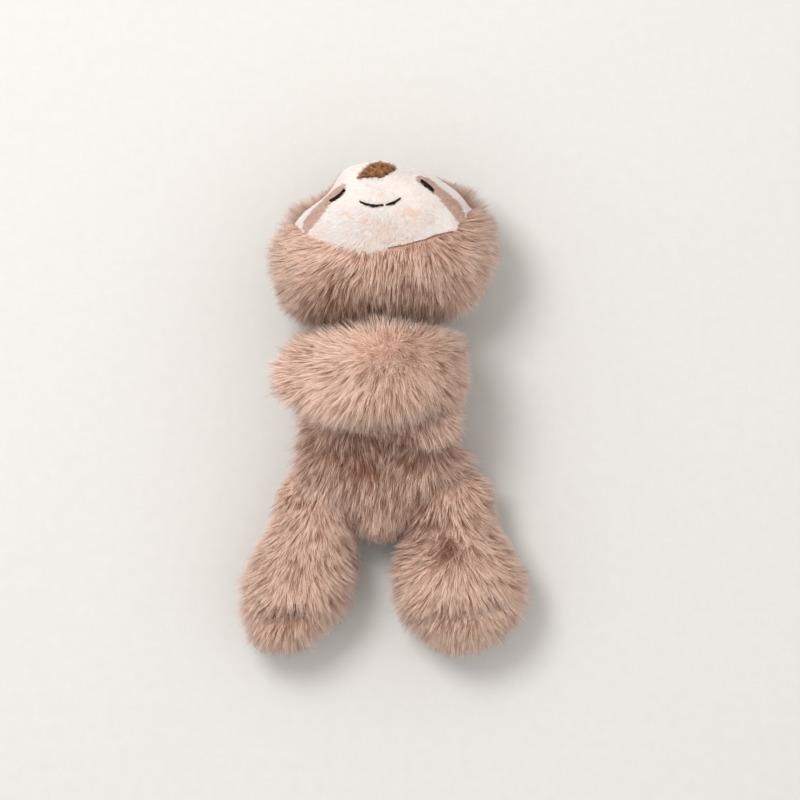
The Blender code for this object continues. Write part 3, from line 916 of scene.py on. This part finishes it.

# %% [markdown]
# The other leg has a whorl over its knee, where ruffled hairs stand up round a parting; its dark middle is
# painted shade.

# %% Left leg
left_leg_notes = (
    (442, 457, 325), (465, 466, 318), (488, 476, 342), (499, 489, 348), (442, 487, 262),
    (430, 498, 248), (453, 510, 282), (476, 510, 312), (499, 521, 320), (419, 526, 248),
    (454, 530, 282), (436, 545, 222), (431, 558, 208), (408, 549, 208), (399, 567, 212),
    (454, 572, 270), (476, 560, 305), (476, 575, 292), (511, 562, 330), (527, 585, 340),
    (476, 590, 282), (450, 592, 262), (431, 590, 246), (399, 590, 222), (419, 612, 232),
    (431, 636, 256), (455, 622, 266), (476, 640, 276), (511, 624, 304), (522, 608, 326),
    (495, 600, 300), (505, 545, 326), (403, 615, 225), (455, 655, 268), (495, 645, 290),
)
# Painted shade at the whorl's parting, in the creases at the hip, between the legs and over the foot, and
# over this thigh, on the side away from the lamp.
left_leg_shades = (
    (452, 547, 9, 0.6), (440, 487, 6, 0.26), (447, 470, 8, 0.22), (420, 530, 16, 0.16),
    (410, 560, 12, 0.14), (450, 614, 9, 0.25), (430, 520, 18, 0.2), (455, 510, 18, 0.2),
    (440, 552, 12, 0.1),
)
left_leg_folds = (
    (427, 490, 453, 469, 2.6, 6), (418, 560, 400, 585, 3.4, 2), (425, 614, 470, 608, 3.6, 6),
    (470, 608, 500, 600, 3.6, 4), (402, 618, 425, 614, 3.6, 4),
)
left_leg_lumps = (
    (484, 478, 12, 7), (476, 466, 11, 8), (494, 500, 12, 3), (398, 556, 16, 5),
    (472, 657, 26, -6), (506, 648, 14, -4), (515, 548, 14, -1), (424, 640, 14, -3),
)
left_leg_lengths = ((448, 474, 14, -0.5),)
left_leg_ruffles = ((452, 547, 10, 1),)
furry_bag(
    "left_leg", 13, left_leg_notes, left_leg_shades, left_leg_folds, left_leg_lumps, left_leg_ruffles,
    left_leg_lengths,
)

# %% [markdown]
# The arms cross over the chest, with the toy's left arm on top. Its fur bursts from one whorl: left of
# that it runs out to the paw, right of it down and out, and above it up over the edge.

# %% Left arm
left_arm_notes = (
    (370, 316, 95), (345, 318, 105), (329, 323, 128), (296, 333, 152), (275, 354, 175),
    (271, 374, 192), (275, 395, 214), (293, 407, 232), (403, 316, 80), (425, 322, 62),
    (353, 347, 172), (325, 345, 172), (320, 357, 184), (304, 374, 195), (337, 374, 208),
    (321, 392, 206), (296, 392, 200), (370, 375, 238), (353, 392, 225), (362, 407, 255),
    (335, 404, 232), (386, 374, 262), (403, 374, 274), (419, 374, 284), (436, 374, 300),
    (452, 374, 312), (465, 379, 328), (452, 399, 312), (419, 399, 284), (386, 399, 270),
    (375, 345, 150), (386, 333, 95), (411, 333, 55), (427, 344, 350), (444, 349, 330),
    (452, 333, 18), (465, 338, 0), (469, 366, 338), (400, 352, 280), (395, 405, 270),
)
# Rows below zero are painted light over the arm, which lies highest and faces the lamp; the others are
# painted shade at the whorl and in small partings and creases.
left_arm_shades = (
    (330, 335, 26, -0.12), (400, 330, 26, -0.08), (340, 395, 30, -0.08),
    (378, 359, 9, 0.12), (404, 361, 9, 0.1), (308, 353, 8, 0.3),
    (338, 367, 7, 0.26), (385, 385, 14, 0.16), (400, 345, 8, 0.12),
)
left_arm_folds = ((376, 359, 416, 356, 3.2, 3),)
left_arm_ruffles = ((382, 347, 15, 1), (408, 350, 16, 1))
left_arm_lumps = (
    (475, 360, 16, -8), (340, 322, 18, 2), (300, 336, 14, 1), (330, 402, 14, 3),
    (382, 320, 18, 3.5), (408, 322, 12, 2), (290, 404, 10, 3.5), (272, 355, 10, 2.5),
    (365, 406, 14, 3.5), (400, 404, 14, 3), (435, 398, 14, 2),
)
left_arm_lengths = (
    (335, 408, 16, 0.5), (370, 410, 16, 0.6), (400, 408, 14, 0.5), (396, 349, 18, -0.35),
    (470, 356, 10, -0.3), (380, 320, 16, 0.35),
)
furry_bag(
    "left_arm", 14, left_arm_notes, left_arm_shades, left_arm_folds, left_arm_lumps, left_arm_ruffles,
    left_arm_lengths,
)

# %% [markdown]
# Only the lower edge of the other arm shows, as a band of fur that runs down to the belly. It lies in the
# crease under the upper arm, so shade is painted into it.

# %% Right arm
right_arm_notes = (
    (300, 330, 160), (275, 350, 178), (290, 395, 215), (300, 410, 240), (321, 418, 254),
    (353, 420, 265), (386, 421, 271), (411, 425, 276), (427, 421, 290), (452, 421, 312),
    (465, 412, 340), (440, 400, 300), (460, 430, 318), (440, 436, 285), (350, 400, 265),
)
# Painted shade in the crease under the upper arm.
right_arm_shades = ((424, 418, 8, 0.3), (330, 434, 18, 0.3), (365, 436, 18, 0.32), (398, 434, 14, 0.26))
right_arm_lengths = ((315, 432, 16, -0.5), (350, 434, 18, -0.55), (388, 434, 16, -0.5), (464, 434, 11, -0.5))
right_arm_lumps = ((466, 430, 11, -5),)
furry_bag(
    "right_arm", 15, right_arm_notes, right_arm_shades, (), right_arm_lumps, lengths=right_arm_lengths
)

# %% [markdown]
# The head is tipped back, so the camera looks on its chin and throat. Its filling is a whole round
# form, so the cloth here is that form moved out, with a few soft lumps.

# %% Head: form
head_body = body_of_node["head_skin"]
head_voxel = 1.3 * millimetre
head_rounds = 14
head_drawn_in = 0.4 * millimetre
cloth_outside_filling = 1.8 * millimetre
head_lumps = (
    (452, 190, 16, 3.5), (423, 174, 12, 6), (439, 181, 9, 2.5), (347, 176, 12, 4.4),
    (296, 305, 16, 4.5), (458, 303, 16, 4), (306, 320, 12, 4.5), (385, 162, 16, 1.6),
)
head_points, head_quads = fused(("head_stuffing",), head_voxel)
head_points = relaxed(head_points, edges_of(head_quads), head_rounds)
head_inner = moved_out(head_points, head_quads, -head_drawn_in)
head_points = moved_out(head_points, head_quads, cloth_outside_filling)
head_points = swelled(head_points, head_quads, head_lumps)
head_filling = make_piece("head_filling", head_inner, [head_quads], filling, head_body)
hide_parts("head_stuffing")
head_tree = BVHTree.FromPolygons(head_points.tolist(), head_quads.tolist())
head_middle = head_points.mean(axis=0)
print("head form", len(head_points), "points")

# %% [markdown]
# What is sewn on the face is placed by the pixels at which the photograph shows it: a ray from the
# camera finds that place on the form. The other way round, rings and lines of pixels choose points of
# the form.

# %% Head: pixels to places and back
def on_head(pixels):
    """The places on the head that the camera sees at these pixels."""
    places = []
    for across, down in pixels:
        x, y = from_photo(across, down)
        aim = Vector((float(x), float(y), middle_height))
        hit = head_tree.ray_cast(camera.location, aim - camera.location)[0]
        places.append(hit or head_tree.find_nearest(Vector((aim.x, aim.y, 2 * middle_height)))[0])
    return np.array(places)


def in_ring(points, ring):
    """Which points the camera sees inside a closed ring of pixels."""
    across, down = to_photo(points)
    inside = np.zeros(len(points), bool)
    for (from_across, from_down), (to_across, to_down) in zip(ring, ring[1:] + ring[:1]):
        passed = (from_down > down) != (to_down > down)
        run = (to_across - from_across) / ((to_down - from_down) or 1)
        inside ^= passed & (across < from_across + (down - from_down) * run)
    return inside


def beside_line(points, line):
    """How many pixels each point is from a line through these pixels."""
    places = np.stack(to_photo(points), axis=1)
    corners = np.array(line, float)
    gaps = [line_gap(places, start, stop) for start, stop in zip(corners[:-1], corners[1:])]
    return np.min(gaps, axis=0)


print("chin stands at", round(float(on_head([(385, 226)])[0][2]), 4), "m")

# %% [markdown]
# Rings of pixels say where the face and its nose are, and lines say where the eye bands and the
# threads run. All were read from the photograph.

# %% Head: rings and lines of the face
face_ring = [
    (294, 222), (303, 231), (320, 238), (345, 245), (366, 248), (388, 248), (400, 245), (415, 242),
    (425, 239), (433, 235), (445, 233), (453, 231), (459, 224), (462, 218), (468, 213), (476, 207),
    (490, 170), (440, 130), (330, 130), (280, 180),
]
right_band_line = [(343, 188), (336, 193), (329, 199), (323, 206), (317, 213), (312, 221), (310, 228)]
right_band_reach = [2.4, 3.8, 5.0, 6.2, 7.0, 6.4, 3.8]
left_band_line = [
    (421, 180), (427, 183), (433, 187), (440, 193), (447, 199), (454, 206), (458, 213), (460, 218)
]
left_band_reach = [3.6, 4.2, 4.0, 4.2, 5.0, 5.8, 5.2, 2.8]
nose_ring = [
    (358, 179), (361, 174), (366, 169.5), (372, 166), (379, 164.5), (386, 165), (392, 167), (396, 170),
    (391, 172), (387, 175), (381, 178), (374, 177), (367, 178),
]
right_eye_line = [(331.5, 202), (336, 199.5), (341, 196), (345.5, 191)]
left_eye_line = [(420, 182), (424.5, 185), (428.8, 188.6), (432, 192.2)]
mouth_left_line = [(360.5, 203), (366, 205.3), (372, 206.6), (377, 207), (383, 206.3)]
mouth_right_line = [(386, 206.3), (390, 205), (394, 203.6), (399.5, 200)]
face_seam_line = [
    (388, 248), (395, 246.5), (405, 245), (415, 242), (425, 239.5), (433, 236), (443, 233.5), (453, 231.5)
]
print("rings of", len(face_ring), "and", len(nose_ring), "pixels")

# %% [markdown]
# The camera sees only the upper side, so on the far side the face is the strip that runs back over
# the forehead. An eye band is what lies within reach of its line. The edges wander a little, as cut
# pile does.

# %% Head: where face and bands lie
forehead = (343, 436)
lobes = (46, 35)
lobe_depth = 3.0 * millimetre
head_radius = 45 * millimetre
forehead_depth = 38 * millimetre
ragged = 1.6
face_drift = 5 * millimetre
band_steps = 60
band_raggedness = 0.09
band_drift = 2.5 * millimetre


def far_edges(normals):
    """How far the face reaches left and right on the far side, which it leaves in a round end."""
    below = np.clip(-normals[:, 2], 0, 1) * head_radius
    corner = np.exp(-below / lobe_depth)
    narrow = 1 - np.sqrt(np.clip(1 - (below / forehead_depth) ** 2, 0, 1))
    inwards = narrow * (forehead[1] - forehead[0]) / 2
    return forehead[0] + inwards - lobes[0] * corner, forehead[1] - inwards + lobes[1] * corner


def on_face(points, normals):
    """The face: what its ring holds above, and the strip over the forehead on the far side."""
    across, _ = to_photo(points)
    far_left, far_right = far_edges(normals)
    far = (across > far_left) & (across < far_right)
    uneven = points.copy()
    uneven[:, 1] += drift(points, face_drift, 3) * ragged * pixel_size
    return np.where(normals[:, 2] > 0, in_ring(uneven, face_ring), far & (points[:, 1] > head_middle[1]))


def between_rows(table, places):
    """The rows of a table at these places, which may lie between two rows."""
    table = np.asarray(table, float)
    order = np.arange(len(table))
    return np.stack([np.interp(places, order, column) for column in table.T], axis=1)


def finer(pixels, steps):
    """Evenly spaced pixels along a line of pixels."""
    return between_rows(pixels, np.linspace(0, len(pixels) - 1, steps))


def on_band(points, line, reach):
    """The points of the head within reach, in millimetres, of a line laid on it."""
    middles = on_head(finer(line, band_steps))
    reaches = finer([(width,) for width in reach], band_steps)[:, 0] * millimetre
    nearest = np.full(len(points), np.inf)
    for middle, width in zip(middles, reaches):
        nearest = np.minimum(nearest, np.linalg.norm(points - middle, axis=1) / width)
    nearest += band_raggedness * drift(points, band_drift, 4)
    return nearest < 1


print("left eye band is", round(2 * max(left_band_reach), 1), "mm wide at most")

# %% [markdown]
# The fur cloth and the face cloth are two pieces sewn edge to edge, and the eye bands and the nose
# are patches on the face. All are cut here from the one form and given the thickness of cloth.

# %% Head: cloth pieces
head_normals = normals_of(head_points, head_quads)
face_middles = head_points[head_quads].mean(axis=1)
face_normals = unit(head_normals[head_quads].mean(axis=1))
in_face = on_face(face_middles, face_normals)
cloth_thickness = 0.9 * millimetre
patch_rise = 0.25 * millimetre


def cut_piece(name, wanted, raised, material, node):
    """The wanted faces of the head as a closed sheet of cloth that replaces a node."""
    used, renumbered = np.unique(head_quads[wanted], return_inverse=True)
    renumbered = renumbered.reshape(-1, 4)
    outer = head_points[used] + head_normals[used] * raised
    inner = outer - head_normals[used] * (cloth_thickness + np.asarray(raised))
    pairs = sides_of(renumbered)
    _, where, times = np.unique(np.sort(pairs, axis=1), axis=0, return_inverse=True, return_counts=True)
    rim = pairs[times[where.ravel()] == 1]
    count = len(used)
    walls = np.stack([rim[:, 1], rim[:, 0], rim[:, 0] + count, rim[:, 1] + count], axis=1)
    faces = np.concatenate([renumbered, renumbered[:, ::-1] + count, walls])
    made = make_piece(name, np.concatenate([outer, inner]), [faces], material, head_body)
    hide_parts(node)


cut_piece("head_cloth", ~in_face, 0.0, fur_backing, "head_skin")
cut_piece("face_cloth", in_face, 0.0, face_backing, "face_panel")
bands = {
    "left_eye_band": (left_band_line, left_band_reach),
    "right_eye_band": (right_band_line, right_band_reach),
}
for node, (line, reach) in bands.items():
    wanted = on_band(face_middles, line, reach) & in_face
    cut_piece(node + "_cloth", wanted, patch_rise, band_backing, node)
print("face cloth holds", int(in_face.sum()), "of", len(in_face), "faces")

# %% [markdown]
# Head fur starts behind the seam round the face and runs outwards over the cheeks and down the
# throat. Hairs next to the face are shorter, so that they frame it and don't cover it.

# %% Head: fur
head_notes = (
    (285, 215, 150), (277, 222, 155), (327, 180, 130), (300, 200, 140), (462, 185, 62),
    (480, 198, 45), (499, 221, 22), (345, 160, 110), (420, 160, 75), (285, 241, 188),
    (269, 261, 182), (300, 240, 195), (317, 250, 200), (345, 252, 225), (288, 285, 214),
    (288, 314, 232), (327, 266, 215), (345, 270, 245), (366, 266, 262), (380, 255, 265),
    (395, 270, 256), (424, 266, 250), (443, 254, 305), (455, 248, 325), (472, 275, 310),
    (491, 266, 326), (498, 250, 345), (481, 300, 288), (462, 318, 266), (433, 295, 260),
    (450, 280, 290), (385, 295, 276), (356, 295, 290), (327, 300, 240), (340, 312, 262),
    (405, 310, 268), (470, 240, 335), (480, 225, 10), (410, 250, 262), (312, 285, 222),
)
# Painted shade low on the throat, where the head lies over the arms, and under the face's right edge. Rows
# below zero make the fur by the face's lower left edge paler, and those at the throat and the far right side
# are painted light.
head_shades = (
    (335, 250, 10, -0.2), (365, 256, 10, -0.15), (335, 282, 14, 0.22), (385, 312, 40, 0.30),
    (330, 312, 20, 0.22), (440, 252, 10, 0.16), (400, 262, 16, 0.02), (425, 275, 18, 0.04),
    (362, 275, 10, 0.04), (470, 262, 16, -0.1), (310, 246, 12, -0.14), (390, 258, 12, -0.08),
)
head_lengths = ((334, 180, 12, -0.5), (316, 194, 14, -0.35), (444, 176, 14, -0.6))
seam_clearing = 1.3
chin_edge = face_ring[:16]
far_edge_slope = 0.6
frame_width = 9 * millimetre
frame_share = 0.5
shortest_share = 0.3
dice = np.random.default_rng(16)
roots, normals = scatter(head_points, head_quads, fur_density, dice)
keep = ~on_face(roots, normals) & (beside_line(roots, face_seam_line) > seam_clearing)
roots, normals = roots[keep], normals[keep]
far_left, far_right = far_edges(normals)
across, _ = to_photo(roots)
near_far = np.minimum(np.abs(across - far_left), np.abs(across - far_right)) * far_edge_slope
near_face = np.where(normals[:, 2] > 0, beside_line(roots, chin_edge), near_far) * pixel_size
framing = frame_share + (1 - frame_share) * np.clip(near_face / frame_width, 0, 1)
trimming = np.clip(1 + spotted(roots, head_lengths), shortest_share, 1)
look = dict(fur_look)
look["shade"] = spotted(roots, head_shades)
look["length"] = fur_look["length"] * framing * trimming
plant("head_fur", roots, normals, combed(roots, head_notes), look, fur_pile, head_body, 16)

# %% [markdown]
# The face is a short cream pile: velvet on the snout and the cheeks, and longer and curly on the
# chin. It is pressed along the cloth, because upright hairs show their shaded sides to a low camera
# and the face would look grey.

# %% Face: how its pile lies
velvet_droop = 0.6
level_enough = 0.9
steepest = 1.5


def laid(flow, normals):
    """The comb's ways pressed onto the cloth, with a droop where the cloth is steep."""
    drooped = flow.copy()
    drooped[:, 2] -= velvet_droop * np.clip(level_enough - normals[:, 2], 0, steepest)
    return unit(drooped - normals * (drooped * normals).sum(axis=1)[:, None])


face_notes = (
    (345, 200, 215), (330, 212, 218), (318, 222, 212), (350, 222, 235), (365, 232, 250),
    (385, 215, 262), (385, 235, 265), (405, 228, 280), (425, 215, 300), (445, 215, 318),
    (455, 225, 325), (430, 232, 295), (382, 190, 262), (365, 190, 225), (400, 190, 312),
    (350, 175, 160), (415, 172, 20), (382, 165, 90), (320, 200, 150), (455, 195, 30),
    (305, 225, 200), (330, 238, 215),
)
face_look = dict(fur_look)
face_look.update(
    {
        "width": 0.3 * millimetre,
        "times": (0.0, 0.5, 1.0),
        "start_lean": 1.6,
        "least_rise": 0.12,
        "droop": 0.0,
        "hairs_a_lock": 10,
        "lock_pull": 0.15,
        "lock_tone": 0.12,
    }
)
print("face hairs are", face_look["width"] / millimetre, "mm wide")

# %% [markdown]
# The pile stops at the bands, the nose and the threads, which lie bare.

# %% Face: where its pile grows
face_density = 6.5e6
eye_gaps = ((left_eye_line, 1.5), (right_eye_line, 1.2))
thread_gaps = eye_gaps + ((mouth_left_line, 0.9), (mouth_right_line, 0.9), (face_seam_line, 1.4))


def clear_of(points, gaps):
    """Which points leave these lines of pixels bare, each with a gap in pixels."""
    return np.all([beside_line(points, line) > gap for line, gap in gaps], axis=0)


dice = np.random.default_rng(17)
roots, normals = scatter(head_points, head_quads, face_density, dice)
keep = on_face(roots, normals) & ~(in_ring(roots, nose_ring) & (normals[:, 2] > 0))
for line, reach in bands.values():
    keep &= ~on_band(roots, line, reach)
roots, normals = roots[keep], normals[keep]
keep = clear_of(roots, thread_gaps) | (normals[:, 2] < 0)
roots, normals = roots[keep], normals[keep]
print("face has", len(roots), "roots")

# %% [markdown]
# Soft spots make the pile long and curly on the chin, and paint shade into it in the hollows beside the
# snout.

# %% Face: velvet and curls
velvet_length, curly_length = 1.5 * millimetre, 4.2 * millimetre
velvet_lift, curly_lift = 0.2, 0.1
velvet_turn, curly_turn = 10, 16
flat_by_seam = 12
face_paler = 0.14
# Painted shade in the groove under the nose, in the hollows beside the snout and at the ends of the mouth.
# On the chin and the right cheek the spots give a warmer peach tint, partly painted shade among the curls.
face_shades = (
    (381, 189, 1.4, 0.22), (381.3, 193, 1.4, 0.3), (381.5, 197, 1.6, 0.2), (404, 193, 2.4, 0.22),
    (400, 199, 2.2, 0.25), (409, 188, 2.2, 0.16), (405, 209, 3, 0.3), (412, 213, 3, 0.3),
    (350, 213, 6, 0.12), (392, 226, 14, 0.2), (420, 225, 14, 0.12), (360, 236, 14, 0.24),
    (430, 205, 12, 0.10), (318, 236, 12, 0.28), (388, 240, 18, 0.2),
)
chin = (
    (385, 226, 18, 0.9), (350, 236, 14, 0.8), (420, 224, 12, 0.5), (322, 232, 10, 0.7),
    (370, 240, 10, 0.4),
)
fluff = np.clip(spotted(roots, chin), 0, 1)
beside_seam = np.where(normals[:, 2] > 0, beside_line(roots, face_seam_line), flat_by_seam)
face_look["length"] = velvet_length + curly_length * fluff * np.clip(beside_seam / flat_by_seam, 0, 1)
face_look["lift"] = velvet_lift + curly_lift * fluff
face_look["hair_turn"] = velvet_turn + curly_turn * fluff
face_look["shade"] = spotted(roots, face_shades) - face_paler
flow = laid(combed(roots, face_notes), normals)
plant("face_pile", roots, normals, flow, face_look, face_pile, head_body, 17)

# %% [markdown]
# The eye bands have a pile like short velvet, in mauve. It runs along the band.

# %% Eye bands
band_notes = (
    (344, 186, 240), (325, 205, 235), (305, 228, 240), (416, 174, 330), (447, 193, 300),
    (461, 217, 285),
)
band_look = dict(face_look)
band_look.update(
    {
        "length": 1.8 * millimetre,
        "width": 0.24 * millimetre,
        "lift": 0.35,
        "hair_turn": 9.0,
        "shade": 0.0,
    }
)
for seed, (node, (line, reach)) in enumerate(bands.items(), 18):
    dice = np.random.default_rng(seed)
    roots, normals = scatter(head_points, head_quads, face_density, dice)
    keep = on_band(roots, line, reach) & on_face(roots, normals) & clear_of(roots, eye_gaps)
    roots, normals = roots[keep] + normals[keep] * patch_rise, normals[keep]
    flow = laid(combed(roots, band_notes), normals)
    plant(node + "_pile", roots, normals, flow, band_look, band_pile, head_body, seed)

# %% [markdown]
# The nose is a low pad of brown curly pile. Its cloth is a patch like the eye bands, but domed.

# %% Nose: pad
nose_dome = 0.7 * millimetre
nose_reach = 11
nose_middle = np.array([(377, 170)], float)
in_nose = in_ring(face_middles, nose_ring) & (face_normals[:, 2] > 0)
used = np.unique(head_quads[in_nose])
dome = nose_dome * nearness(head_points[used], nose_middle, nose_reach)[:, :1]
cut_piece("nose_cloth", in_nose, dome, nose_backing, "nose")
print("nose pad stands", round(float(dome.max()) / millimetre, 2), "mm out")

# %% [markdown]
# Each curl is a short spike that winds round as it leaves the cloth, which catches light on its loops.

# %% Nose: curls
nose_ragged = 0.5 * millimetre
curl_density = 4.5e6
curl_points = 8
curl_size = (2.0 * millimetre, 0.7 * millimetre, 1.5, 0.34 * millimetre)
curl_side = np.array((0.2, 0.9, 0.1))
curl_opening = 3
width_range, rise_range = (0.6, 1.3), (0.6, 1.2)
curl_tone, curl_tone_drift, curl_tone_spread = 0.36, 0.16, 0.34
curl_drift = 3 * millimetre


def curls(roots, normals, dice, length, radius, turns, width):
    """Short hairs that wind round their own direction as they rise."""
    count = len(roots)
    times = tuple(np.linspace(0, 1, curl_points))
    beside = unit(np.cross(normals, curl_side))
    above = np.cross(normals, beside)
    begin = dice.uniform(0, 2 * math.pi, count)[:, None]
    share = np.array(times)[None, :]
    wound = begin + share * 2 * math.pi * turns * dice.choice((-1, 1), count)[:, None]
    reach = radius * np.minimum(1, share * curl_opening) * dice.uniform(*width_range, count)[:, None]
    rise = length * dice.uniform(*rise_range, count)[:, None] * share
    line = roots[:, None] + normals[:, None] * rise[:, :, None]
    line = line + beside[:, None] * (reach * np.cos(wound))[:, :, None]
    line = line + above[:, None] * (reach * np.sin(wound))[:, :, None]
    tone = curl_tone + curl_tone_drift * drift(roots, curl_drift, 8)
    tone = np.clip(tone + dice.normal(0, curl_tone_spread, count), 0, 1)
    return spikes(line, normals, width, tone, times)


dice = np.random.default_rng(21)
roots, normals = scatter(head_points, head_quads, curl_density, dice)
ragged_roots = roots + dice.normal(0, 1, roots.shape) * nose_ragged
keep = in_ring(ragged_roots, nose_ring) & (normals[:, 2] > 0)
roots, normals = roots[keep], normals[keep]
roots = roots + normals * nose_dome * nearness(roots, nose_middle, nose_reach)[:, :1]
points, faces, marks, ways = curls(roots, normals, dice, *curl_size)
make_piece("nose_curls", points, faces, nose_pile, head_body, marks, ways)
print("nose", len(roots), "curls")

# %% [markdown]
# Thread is a round tube with narrowed ends. A curve with a bevel would do, but arrays make many
# threads at once.

# %% Round threads
tube_end = 0.45
nearly_up = np.array((0.13, 0.21, 0.97))


def tubes(lines, radius, sides=6):
    """Closed round threads along many lines with as many points each, with narrowed ends."""
    count, length = lines.shape[:2]
    ahead = unit(np.gradient(lines, axis=1))
    beside = unit(np.cross(ahead, nearly_up))
    above = np.cross(ahead, beside)
    ends = np.ones(length)
    ends[[0, -1]] = tube_end
    turns = 2 * math.pi * np.arange(sides) / sides
    rings = [beside * math.cos(turn) + above * math.sin(turn) for turn in turns]
    verts = np.stack([lines + ring * radius * ends[None, :, None] for ring in rings], axis=2)
    first = (np.arange(count) * length * sides)[:, None]
    start = first + np.arange(sides)[::-1]
    finish = first + (length - 1) * sides + np.arange(sides)
    return verts.reshape(-1, 3), [ring_sides(first, length, sides), np.concatenate([start, finish])]


print("thread ends narrow to", tube_end, "of their width")

# %% [markdown]
# Eyes and mouth are satin stitch: many short threads laid side by side across a line. Each thread
# here is an arch that rises out of the cloth, crosses the line and goes back in.

# %% Stitched eyes and mouth
satin_steps = 40
thread_points = 9
fewest_threads = 4
thread_radius = 0.2 * millimetre
thread_step = 0.34 * millimetre
thread_sunk = 0.4 * millimetre
end_power = 1.6
narrowest_end = 0.2
reach_range = (0.85, 1.12)
slant_range = (0.6, 1.4)


def satin(pixels, half_width, height, slant, seed):
    """Threads of satin stitch across a line of pixels on the head."""
    line = on_head(finer(pixels, satin_steps))
    length = np.linalg.norm(np.diff(line, axis=0), axis=1).sum()
    count = max(fewest_threads, int(length / thread_step))
    places = np.linspace(0, len(line) - 1, count)
    centres = between_rows(line, places)
    ahead = unit(np.gradient(centres, axis=0))
    out = unit(centres - head_middle)
    across = unit(np.cross(ahead, out))
    dice = np.random.default_rng(seed)
    ends = 1 - np.abs(2 * (np.arange(count) + 0.5) / count - 1) ** end_power
    reach = half_width * np.clip(ends, narrowest_end, 1) * dice.uniform(*reach_range, count)
    lean = slant * dice.uniform(*slant_range, count)
    lines = []
    for step in np.linspace(-1, 1, thread_points):
        side = across * (reach * step)[:, None] + ahead * (lean * step)[:, None]
        rise = out * (height * (1 - step**2) - thread_sunk)
        lines.append(centres + side + rise)
    return tubes(np.stack(lines, axis=1), thread_radius)


left_eye = satin(left_eye_line, 1.55 * millimetre, 2.5 * millimetre, 0.3 * millimetre, 31)
right_eye = satin(right_eye_line, 1.1 * millimetre, 2.4 * millimetre, 0.3 * millimetre, 32)
for side, (points, faces) in (("left", left_eye), ("right", right_eye)):
    node = side + "_eye_stitching"
    eye = make_piece(node + "_satin", points, faces, dark_thread, head_body)
    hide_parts(node)
for number, line in enumerate((mouth_left_line, mouth_right_line)):
    points, faces = satin(line, 1.0 * millimetre, 2.6 * millimetre, 0.4 * millimetre, 33 + number)
    mouth = make_piece(f"mouth_satin_{number + 1}", points, faces, dark_thread, head_body)
    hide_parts("mouth_stitching")
print("threads in the left eye:", len(left_eye[1][1]) // 2)

# %% [markdown]
# One seam shows: where the face meets the throat, on the side where the fur is brushed away from it.
# A line of running stitches lies in the gap between the two piles, in a brown that paints the gap's shadow.

# %% Seam under the chin
stitch_count = 24
stitch_steps = 7
stitch_gap = 0.06
stitch_rise = 0.5 * millimetre
stitch_radius = 0.42 * millimetre
arch = np.sin(np.linspace(0, math.pi, stitch_steps))[:, None]
seam_ends = np.linspace(0, len(face_seam_line) - 1, stitch_count + 1)
stitches = []
for start, stop in zip(seam_ends[:-1], seam_ends[1:]):
    fine = np.linspace(start, stop - stitch_gap, stitch_steps)
    stitch = on_head(between_rows(face_seam_line, fine))
    stitches.append(stitch + unit(stitch - head_middle) * (stitch_rise + stitch_rise * arch))
points, faces = tubes(np.array(stitches), stitch_radius)
make_piece("face_seam_shade_stitches", points, faces, chin_thread, head_body)
print("seam", len(stitches), "stitches")

# %% [markdown]
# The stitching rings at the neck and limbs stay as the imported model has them, deep under the fur.
# They only need thread instead of the plain colour that they came with.

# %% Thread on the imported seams
for node, packed in frame["nodes"].items():
    if node.endswith("_seam"):
        packed.data.materials.clear()
        packed.data.materials.append(seam_thread)
        print("thread on", node)
